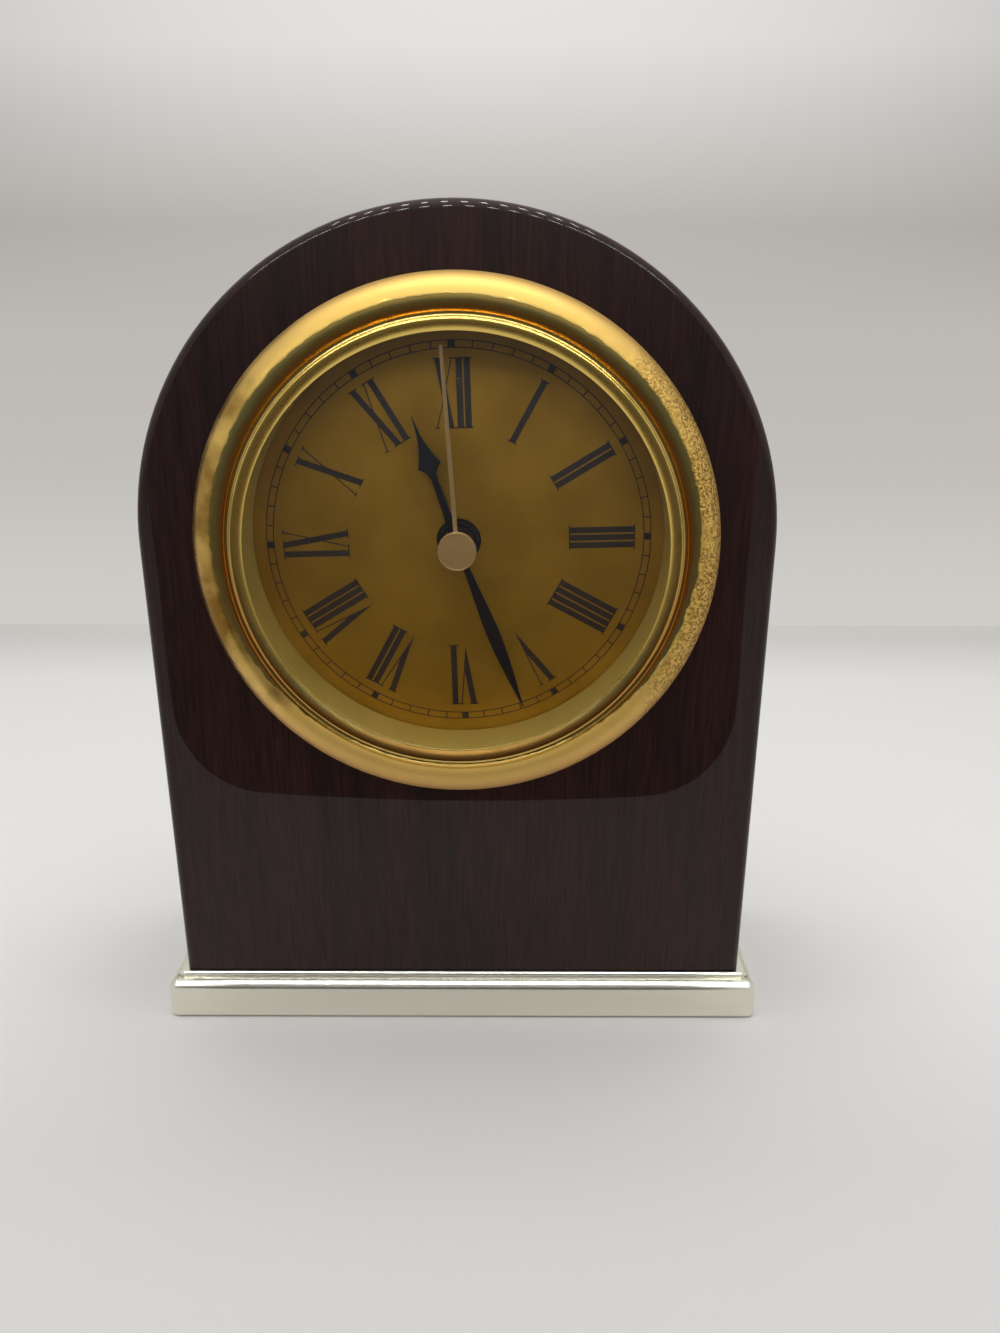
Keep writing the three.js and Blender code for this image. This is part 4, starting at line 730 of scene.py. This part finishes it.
def blade(sections, front, ridge, thickness=0.3):
    """A blade that points up from the dial axis; each section is a distance and a half width in mm."""
    bm = bmesh.new()
    out, half = sections[0]
    row = [bm.verts.new((x, 0, out)) for x in (-half, 0, half)]
    edges = [bm.edges.new(pair) for pair in zip(row, row[1:])]
    for out, half in sections[1:]:
        grown = bmesh.ops.extrude_edge_only(bm, edges=edges)["geom"]
        row = sorted(verts_of(grown), key=lambda v: v.co.x)
        edges = [e for e in edges_of(grown) if all(v in row for v in e.verts)]
        for vertex, x in zip(row, (-half, 0, half)):
            vertex.co = (x, 0, out)
    back = bmesh.ops.extrude_face_region(bm, geom=bm.faces[:])
    bmesh.ops.translate(bm, vec=(0, thickness, 0), verts=verts_of(back["geom"]))
    for vertex in bm.verts:
        if abs(vertex.co.x) < SAME and vertex.co.y < thickness / 2:
            vertex.co.y -= ridge
    bmesh.ops.recalc_face_normals(bm, faces=bm.faces[:])
    bmesh.ops.scale(bm, vec=(MM, MM, MM), verts=bm.verts[:])
    bmesh.ops.translate(bm, vec=(0, depth(front), AXIS), verts=bm.verts[:])
    return bm


def add_turned(bm, profile, steps=64):
    """Adds a turned part to a piece that is already in place."""
    absorb(bm, turned(profile, steps))


def add_collar(bm, inner, outer, front, back, chamfer=0.05):
    """Adds the collar that a hand is riveted to."""
    add_turned(bm, [
        (inner, front), (outer - chamfer, front), (outer, front + chamfer), (outer, back), (inner, back),
    ])


def clockwise(bm, degrees):
    """Turns a piece about the dial axis as a hand turns."""
    bmesh.ops.rotate(
        bm, cent=(0, 0, AXIS), matrix=Matrix.Rotation(radians(degrees), 3, "Y"), verts=bm.verts[:]
    )


# %% Hour and minute hands
HOUR_ANGLE, MINUTE_ANGLE, SECOND_ANGLE = 340.95, 158.65, 356.16
HOUR_SECTIONS = [
    (1.9, 0.95), (6, 0.62), (11.9, 0.5), (12.9, 0.8), (13.6, 1.3), (14.2, 2.0), (15.5, 1.38),
    (17.1, 0.85), (18.2, 0.56), (19.3, 0.36), (21, 0.18), (22.8, 0.06),
]
MINUTE_SECTIONS = [
    (1.4, 0.55), (4.8, 0.6), (11, 0.95), (17, 1.17), (23, 0.88), (28.6, 0.36), (31.2, 0.1),
]

bm = blade(HOUR_SECTIONS, front=3.6, ridge=0.06)
add_collar(bm, 2.05, 2.75, 3.55, 4.5)
clockwise(bm, HOUR_ANGLE)
finished("hour_blade", bm, "black_metal", "hour_group", ("hour_hand",), crease=30)

bm = blade(smooth_sections(MINUTE_SECTIONS, 6), front=1.8, ridge=0.06)
add_collar(bm, 1.35, 1.95, 1.75, 2.6)
clockwise(bm, MINUTE_ANGLE)
finished("minute_blade", bm, "black_metal", "minute_group", ("minute_hand",), crease=30)

# %% [markdown]
# ## Seconds hand
# A thin gilt baton under a flat polished cap, which hides the middle of all the hands. The baton is
# a blade like the others, and the cap and its pipe are turned. A plain disc would do for the cap, but
# the real one has a fine raised rim, which is in the profile.

# %% Seconds hand
CAP_FRONT, CAP_BACK = -1.8, -0.8
CAP_RADIUS, CAP_ROUND = 3.27, 0.1
RIM_IN, RIM_WIDE, RIM_HIGH = 3.0, 0.17, 0.06
PIPE_IN, PIPE_OUT, PIPE_BACK = 0.65, 1.1, CAP_BACK + 1.7

bm = blade([(0.4, 0.36), (18, 0.34), (32.7, 0.28), (33, 0.2)], front=CAP_BACK, ridge=0.03)
add_turned(bm, [
    (0, CAP_FRONT + RIM_HIGH), (RIM_IN, CAP_FRONT + RIM_HIGH), (RIM_IN + RIM_HIGH, CAP_FRONT),
    (RIM_IN + RIM_WIDE, CAP_FRONT), (CAP_RADIUS, CAP_FRONT + CAP_ROUND), (CAP_RADIUS, CAP_BACK),
    (0, CAP_BACK),
], 96)
add_turned(bm, [
    (PIPE_IN, CAP_BACK), (PIPE_OUT, CAP_BACK), (PIPE_OUT, PIPE_BACK), (PIPE_IN, PIPE_BACK),
])
clockwise(bm, SECOND_ANGLE)
second_hand = finished("second_baton", bm, "gold_metal", "second_group", ("second_hand",), crease=30)
second_hand.data.materials[0] = MATERIALS["pale_gilt"]

# %% [markdown]
# ## Printing on the dial
# The numerals and the minute track are printed in dark ink. A typeface could draw the numerals, but in
# other proportions, so a stroke is a thin box, sheared where it leans, and keeps its square ends. Each
# numeral is built upright in a row of strokes, set at the middle, and turned to its hour. The dial sits
# a little askew, as on the real clock.

# %% Strokes
DIAL_TURN = -1.48
PRINT_FRONT = (dial_low.y - FACE) / MM - 0.025
PRINT_THICK = 0.04
PRINT_BACK = PRINT_FRONT + PRINT_THICK
INNER, OUTER = 19.3, 30.6
THICK, THIN, SERIF = 1.06, 0.2, 0.2
V_TIP = 0.62  # how far along its width a V comes to its point


def stroke(bm, low_x, high_x, low, high, width):
    """A straight stroke from (low_x, low) to (high_x, high), cut level at both ends."""
    rise = high - low
    shear = Matrix.Identity(4)
    shear[0][2] = (high_x - low_x) / rise
    centre = Matrix.Translation(((low_x + high_x) / 2, PRINT_FRONT + PRINT_THICK / 2, (low + high) / 2))
    size = Matrix.Diagonal((width, PRINT_THICK, rise, 1))
    bmesh.ops.create_cube(bm, size=1, matrix=centre @ shear @ size)


def serif(bm, left, right, level):
    middle = (left + right) / 2
    stroke(bm, middle, middle, level - SERIF / 2, level + SERIF / 2, right - left)


def letter_v(bm, left, width):
    """Two strokes that run together to a point, the left one thick."""
    tip = left + V_TIP * width
    slope_in = (tip - left) / (OUTER - INNER)
    slope_out = (left + width - tip) / (OUTER - INNER)
    crotch_up = (left + width - THIN - left - THICK) / (slope_in + slope_out)
    crotch = (left + THICK + slope_in * crotch_up, OUTER - crotch_up)
    points = [
        (left, OUTER), (left + THICK, OUTER), crotch, (tip, INNER), (left + width, OUTER),
        (left + width - THIN, OUTER),
    ]
    corner = [bm.verts.new((x, PRINT_FRONT, z)) for x, z in points]
    arms = [bm.faces.new([corner[i] for i in order]) for order in ((0, 1, 2, 3), (3, 2, 5, 4))]
    grown = bmesh.ops.extrude_face_region(bm, geom=arms)
    bmesh.ops.translate(bm, vec=(0, PRINT_THICK, 0), verts=verts_of(grown["geom"]))


def placed_on_dial(bm, degrees):
    """Turns a mark that is drawn upright in mm to its place on the dial."""
    turn = Matrix.Rotation(radians(degrees + DIAL_TURN), 3, "Y")
    bmesh.ops.rotate(bm, cent=(0, 0, 0), matrix=turn, verts=bm.verts[:])
    bmesh.ops.scale(bm, vec=(MM, MM, MM), verts=bm.verts[:])
    bmesh.ops.translate(bm, vec=(0, FACE, AXIS), verts=bm.verts[:])
    return bm


def gathered(parts):
    """One bmesh from several."""
    whole = bmesh.new()
    for part in parts:
        absorb(whole, part)
    return whole


def printed(name, bm):
    """Ink isn't a slot of the record, so print is made with the dial's finish and then given its own."""
    made = finished(name, bm, "dial_gold")
    made.data.materials[0] = MATERIALS["ink"]


# %% Numerals
WIDTHS = {"I": THICK, "V": 2.85, "X": 2.95}
OVERHANG = 0.32
GAP, GAP_OF_STROKES = 0.55, 0.27
HOURS = ("I", "II", "III", "IIII", "V", "VI", "VII", "VIII", "IX", "X", "XI", "XII")


def gap_between(letter, following):
    return GAP_OF_STROKES if letter == following == "I" else GAP


def draw_letter(bm, letter, left):
    right = left + WIDTHS[letter]
    if letter == "I":
        stroke(bm, left + THICK / 2, left + THICK / 2, INNER, OUTER, THICK)
        for level in (INNER, OUTER):
            serif(bm, left - OVERHANG, right + OVERHANG, level)
    if letter == "V":
        letter_v(bm, left, WIDTHS["V"])
        serif(bm, left - OVERHANG, left + THICK + OVERHANG, OUTER)
        serif(bm, right - THIN - OVERHANG, right + OVERHANG, OUTER)
    if letter == "X":
        stroke(bm, right - THICK / 2, left + THICK / 2, INNER, OUTER, THICK)
        stroke(bm, left + THIN / 2, right - THIN / 2, INNER, OUTER, THIN)
        for level, thick_left, thin_left in ((OUTER, left, right - THIN), (INNER, right - THICK, left)):
            serif(bm, thick_left - OVERHANG, thick_left + THICK + OVERHANG, level)
            serif(bm, thin_left - OVERHANG, thin_left + THIN + OVERHANG, level)


def numeral(text, hour):
    bm = bmesh.new()
    gaps = [gap_between(*pair) for pair in zip(text, text[1:])] + [0]
    left = -(sum(WIDTHS[letter] for letter in text) + sum(gaps)) / 2
    for letter, gap in zip(text, gaps):
        draw_letter(bm, letter, left)
        left += WIDTHS[letter] + gap
    bmesh.ops.recalc_face_normals(bm, faces=bm.faces[:])
    return placed_on_dial(bm, 30 * hour)


printed("hour_numerals", gathered(numeral(text, hour) for hour, text in enumerate(HOURS, 1)))

# %% [markdown]
# ## Minute track
# Two fine rings with a tick at each minute and a solid block at each hour, printed with the numerals.
# It could be cut out of a disc, but rings and strokes that lie over one another print as one mark.

# %% Minute track
TRACK_IN, TRACK_OUT = 32.27, 33.47
LINE, TICK, HOUR_BLOCK = 0.16, 0.19, 1.2


def track_line(radius):
    low, high = radius - LINE / 2, radius + LINE / 2
    return turned([(low, PRINT_FRONT), (high, PRINT_FRONT), (high, PRINT_BACK), (low, PRINT_BACK)], 240)


def tick(minute):
    bm = bmesh.new()
    stroke(bm, 0, 0, TRACK_IN, TRACK_OUT, TICK if minute % 5 else HOUR_BLOCK)
    return placed_on_dial(bm, 6 * minute)


track_lines = [track_line(TRACK_IN), track_line(TRACK_OUT)]
printed("minute_track", gathered(track_lines + [tick(minute) for minute in range(60)]))

# %% [markdown]
# ## Helpers for the stage
# The clock seems to have stood in a small white light tent. Its cloth could be lit until it looks right,
# but that light would also fall on the clock. So walls and cards show a plain brightness of their own to
# the camera, to mirrors and through glass, where a strength of 1 is white, and are plain cloth for the
# rays that gather light. Painted shade makes the wall a little darker towards its upper corners.

# %% Stage helpers
# painted shade towards the upper corners of the wall, the cards and the roof
CORNER_SHADE = 4.0  # the loss of brightness at one metre sideways; it grows as the square
CORNER_FROM, CORNER_TO = 0.12, 0.21  # the heights between which it comes in
CORNER_LEAST = 0.72


def staged(name, bm, material, only_mirrored=False):
    mesh = bpy.data.meshes.new(name)
    bm.to_mesh(mesh)
    bm.free()
    mesh.materials.append(material)
    mesh.shade_smooth()
    made = bpy.data.objects.new(name, mesh)
    bpy.context.scene.collection.objects.link(made)
    if only_mirrored:
        made.visible_camera = made.visible_diffuse = made.visible_shadow = False
    print(name, "on the stage")
    return made


def add_panel(bm, centre, half_width, half_depth, turn=Matrix.Identity(4)):
    """A flat panel, level unless it is turned."""
    size = Matrix.Diagonal((half_width, half_depth, 1, 1))
    bmesh.ops.create_grid(
        bm, x_segments=1, y_segments=1, size=1, matrix=Matrix.Translation(centre) @ turn @ size
    )


def seen_or_mirrored(tree):
    """1 for rays from the camera, from a mirror or through glass, and 0 for those that gather light."""
    ray = add_node(tree, "LightPath").outputs
    seen = add_node(
        tree, "Math", {"operation": "MAXIMUM"}, {0: ray["Is Camera Ray"], 1: ray["Is Glossy Ray"]}
    ).outputs[0]
    return add_node(
        tree, "Math", {"operation": "MAXIMUM"}, {0: seen, 1: ray["Is Transmission Ray"]}
    ).outputs[0]


def shown_brightness(name, stops):
    """A plain brightness for camera and mirrors, set by the height in metres, with painted shade towards
    the upper corners.
    """
    material, tree = new_material(name)
    place = add_node(tree, "TexCoord").outputs["Object"]
    parts = add_node(tree, "SeparateXYZ", {}, {"Vector": place}).outputs
    low, high = stops[0][0], stops[-1][0]
    along = add_node(
        tree, "MapRange", {"From Min": low, "From Max": high}, {"Value": parts["Z"]}
    ).outputs[0]
    shares = [((place_on - low) / (high - low), colour) for place_on, colour in stops]
    ramp = add_node(tree, "ValToRGB", {"stops": shares}, {"Fac": along}).outputs["Color"]
    # painted shade: the brightness falls off sideways above the corner heights
    square = add_node(
        tree, "Math", {"operation": "MULTIPLY"}, {0: parts["X"], 1: parts["X"]}
    ).outputs[0]
    high_up = add_node(
        tree, "MapRange", {"From Min": CORNER_FROM, "From Max": CORNER_TO, "To Max": -CORNER_SHADE},
        {"Value": parts["Z"]},
    ).outputs[0]
    fall = add_node(
        tree, "Math", {"operation": "MULTIPLY_ADD", 2: 1.0}, {0: square, 1: high_up}
    ).outputs[0]
    strength = add_node(tree, "Math", {"operation": "MAXIMUM", 1: CORNER_LEAST}, {0: fall}).outputs[0]
    glow = add_node(tree, "Emission", {}, {"Color": ramp, "Strength": strength})
    cloth = add_node(tree, "BsdfDiffuse", {"Color": linear("#DEDDDB")})
    mixed = add_node(
        tree, "MixShader", {}, {0: seen_or_mirrored(tree), 1: cloth.outputs[0], 2: glow.outputs[0]}
    )
    add_node(tree, "OutputMaterial", {}, {"Surface": mixed.outputs[0]})
    material.cycles.emission_sampling = "NONE"
    return material


# %% [markdown]
# ## Floor and wall
# A pale floor runs back to a wall of the same cloth, with a wide soft bend between them. One curved
# sheet would do for both, but the floor has to keep the clock's soft shadow, while the wall shows its
# own brightness. The tones of both are painted shade and light, darker behind the clock and lighter
# above it, to look as they do in the photograph.

# %% Floor and wall
WALL_FOOT = 0.235
WALL_TOP = 2.5
BEND = 0.1
REACH = 3  # half the width of floor and wall
FLOOR_FRONT = -3
TONES_FROM, TONES_TO = -0.15, 0.25  # where along Y the floor's first and last tone would lie
# painted shade and light: floor tones along Y, darker in front and towards the wall, lighter where the
# clock stands
FLOOR_SHADE_TONES = [
    (0.0, "#D3D2D0"), (0.23, "#D5D4D2"), (0.36, "#E4E2E0"), (0.8, "#DCDAD8"), (0.92, "#C9C7C3"),
]
# painted shade and light: wall tones by height, darker behind the clock and lighter above it
WALL_SHADE_TONES = [
    (0.0, "#D0CDC9"), (0.05, "#C2BFBA"), (0.165, "#B9B5B0"), (0.24, "#E4E2DF"), (0.5, "#F0EFED"),
]


def floor_cloth():
    material, tree = new_material("white_tent_cloth")
    place = add_node(tree, "TexCoord").outputs["Object"]
    inward = add_node(tree, "SeparateXYZ", {}, {"Vector": place}).outputs["Y"]
    along = add_node(
        tree, "MapRange", {"From Min": TONES_FROM, "From Max": TONES_TO}, {"Value": inward}
    ).outputs[0]
    tone = add_node(tree, "ValToRGB", {"stops": FLOOR_SHADE_TONES}, {"Fac": along}).outputs["Color"]
    shader = add_node(tree, "BsdfPrincipled", {"Roughness": 0.9}, {"Base Color": tone})
    add_node(tree, "OutputMaterial", {}, {"Surface": shader.outputs[0]})
    return material


bm = bmesh.new()
add_panel(bm, (0, (WALL_FOOT + FLOOR_FRONT) / 2, 0), REACH, (WALL_FOOT - FLOOR_FRONT) / 2)
staged("floor", bm, floor_cloth())

bm = bmesh.new()
foot_line = bm.edges.new([bm.verts.new((side * REACH, WALL_FOOT, 0)) for side in (-1, 1)])
bent = bmesh.ops.spin(
    bm, geom=[foot_line], cent=(0, WALL_FOOT, BEND), axis=(1, 0, 0), angle=pi / 2, steps=24
)
raised = bmesh.ops.extrude_edge_only(bm, edges=edges_of(bent["geom_last"]))
for vertex in verts_of(raised["geom"]):
    vertex.co.z = WALL_TOP
staged("tent_wall", bm, shown_brightness("lit_tent_wall", WALL_SHADE_TONES))

# %% [markdown]
# ## What the polished parts see in front
# The lacquered face mirrors what stood in front: a dark shape with a round-cornered foot, which looks
# like the tent's opening with a dim room behind it, and the white floor below. A whole room could be
# modelled, but a dim card with the shape of the opening gives the same reflection. Only mirrors see
# it, so it takes no light away.

# %% Opening
OPENING_Y = -0.109
LEFT, RIGHT, TOP, ROUND = -0.086, 0.0735, 0.16, 0.025
CARD_BEND, BEND_AT = 0.008, 0.08  # the card's sides bend forward, by the first at the second
COLUMNS = 64
ROOM_TONES = [
    (0.0, "#060505"), (0.012, "#241A16"), (0.05, "#54443C"), (0.09, "#55585C"), (0.125, "#60646A"),
    (0.14, "#8E8A84"), (0.16, "#A8A29A"),
]


def foot(x):
    """Height of the opening's rounded foot at x."""
    into = ROUND - min(x - LEFT, RIGHT - x, ROUND)
    return ROUND - sqrt(max(ROUND**2 - into**2, 0))


bm = bmesh.new()
columns = []
for step in range(COLUMNS + 1):
    x = LEFT + (RIGHT - LEFT) * (1 - cos(pi * step / COLUMNS)) / 2
    y = OPENING_Y - CARD_BEND * (x / BEND_AT) ** 2
    columns.append([bm.verts.new((x, y, z)) for z in (foot(x), TOP)])
for one, two in zip(columns, columns[1:]):
    bm.faces.new((one[0], two[0], two[1], one[1]))
staged("tent_opening", bm, shown_brightness("dim_room", ROOM_TONES), only_mirrored=True)

# %% [markdown]
# ## Diodes under the roof
# The lacquered edge of the arch mirrors a double string of bright dots, as from strips of small diodes
# above and in front of the clock. Lamps could stand for them, but would light the clock as well. Small
# glowing panels that only mirrors see leave its light alone. Each row faces the top of the clock.

# %% Diodes
DIODE_STRENGTH = 30.0
CLOCK_TOP = 0.147
# place along Y, height, spacing, how many to each side, half width and half length, in metres
DIODE_ROWS = [
    (-0.13, 0.5, 0.028, 7, 0.0045, 0.045),
    (-0.25, 0.25, 0.014, 12, 0.0025, 0.015),
]


def diode_material():
    material, tree = new_material("white_diode")
    glow = add_node(tree, "Emission", {"Color": linear("#F6F8FF"), "Strength": DIODE_STRENGTH})
    add_node(tree, "OutputMaterial", {}, {"Surface": glow.outputs[0]})
    return material


bm = bmesh.new()
for y, height, spacing, each_side, half_wide, half_long in DIODE_ROWS:
    towards_clock = Matrix.Rotation(atan2(-y, height - CLOCK_TOP), 4, "X")
    for step in range(-each_side, each_side + 1):
        add_panel(bm, (step * spacing, y, height), half_wide, half_long, towards_clock)
diodes = staged("diode_strip", bm, diode_material(), only_mirrored=True)
diodes.visible_transmission = False

# %% [markdown]
# ## Roof
# The tent's roof was white, and the tops of the case, the base and the bezel mirror it. The room's own
# colour could stand for it, but is a plain grey. Only mirrors see it, so the room's light still comes
# in from above.

# %% Roof
ROOF_HEIGHT = 0.62

bm = bmesh.new()
add_panel(bm, (0, 0, ROOF_HEIGHT), 0.7, 0.5)
roof_cloth = shown_brightness("lit_tent_roof", [(0.0, "#FFFFFF"), (1.0, "#FFFFFF")])
staged("tent_roof", bm, roof_cloth, only_mirrored=True)

# %% [markdown]
# ## Light
# Plain studio light: a large soft lamp above, two weaker ones at the sides and a pale room. A picture
# of a real room could light the clock, but plain lamps show the materials as they are, and the clock
# looks right under other light too. No mirror shows the lamps.

# %% World
world = bpy.data.worlds.new("pale_room")
bpy.context.scene.world = world
world.use_nodes = True
tree = world.node_tree
tree.nodes.clear()
room = add_node(tree, "Background", {"Color": linear("#CFCDCA"), "Strength": 1.0})
soft = add_node(tree, "Background", {"Color": linear("#FFFFFF"), "Strength": 0.55})
mixed = add_node(
    tree, "MixShader", {}, {0: seen_or_mirrored(tree), 1: soft.outputs[0], 2: room.outputs[0]}
)
add_node(tree, "OutputWorld", {}, {"Surface": mixed.outputs[0]})
print(world.name, "around the stage")


# %% Lamps
def soft_lamp(name, place, aim, size, power):
    data = bpy.data.lights.new(name, "AREA")
    data.shape = "RECTANGLE"
    data.size, data.size_y = size
    data.energy = power
    made = bpy.data.objects.new(name, data)
    bpy.context.scene.collection.objects.link(made)
    made.location = place
    made.rotation_euler = (Vector(aim) - Vector(place)).to_track_quat("-Z", "Y").to_euler()
    made.visible_camera = made.visible_glossy = False
    print(name, power, "W")


soft_lamp("overhead_lamp", (0, 0.035, 0.54), (0, 0, 0.05), (0.5, 0.25), 1.6)
soft_lamp("left_lamp", (-0.6, -0.1, 0.3), (0, 0, 0.08), (0.3, 0.4), 0.5)
soft_lamp("right_lamp", (0.6, -0.1, 0.3), (0, 0, 0.08), (0.3, 0.4), 0.5)
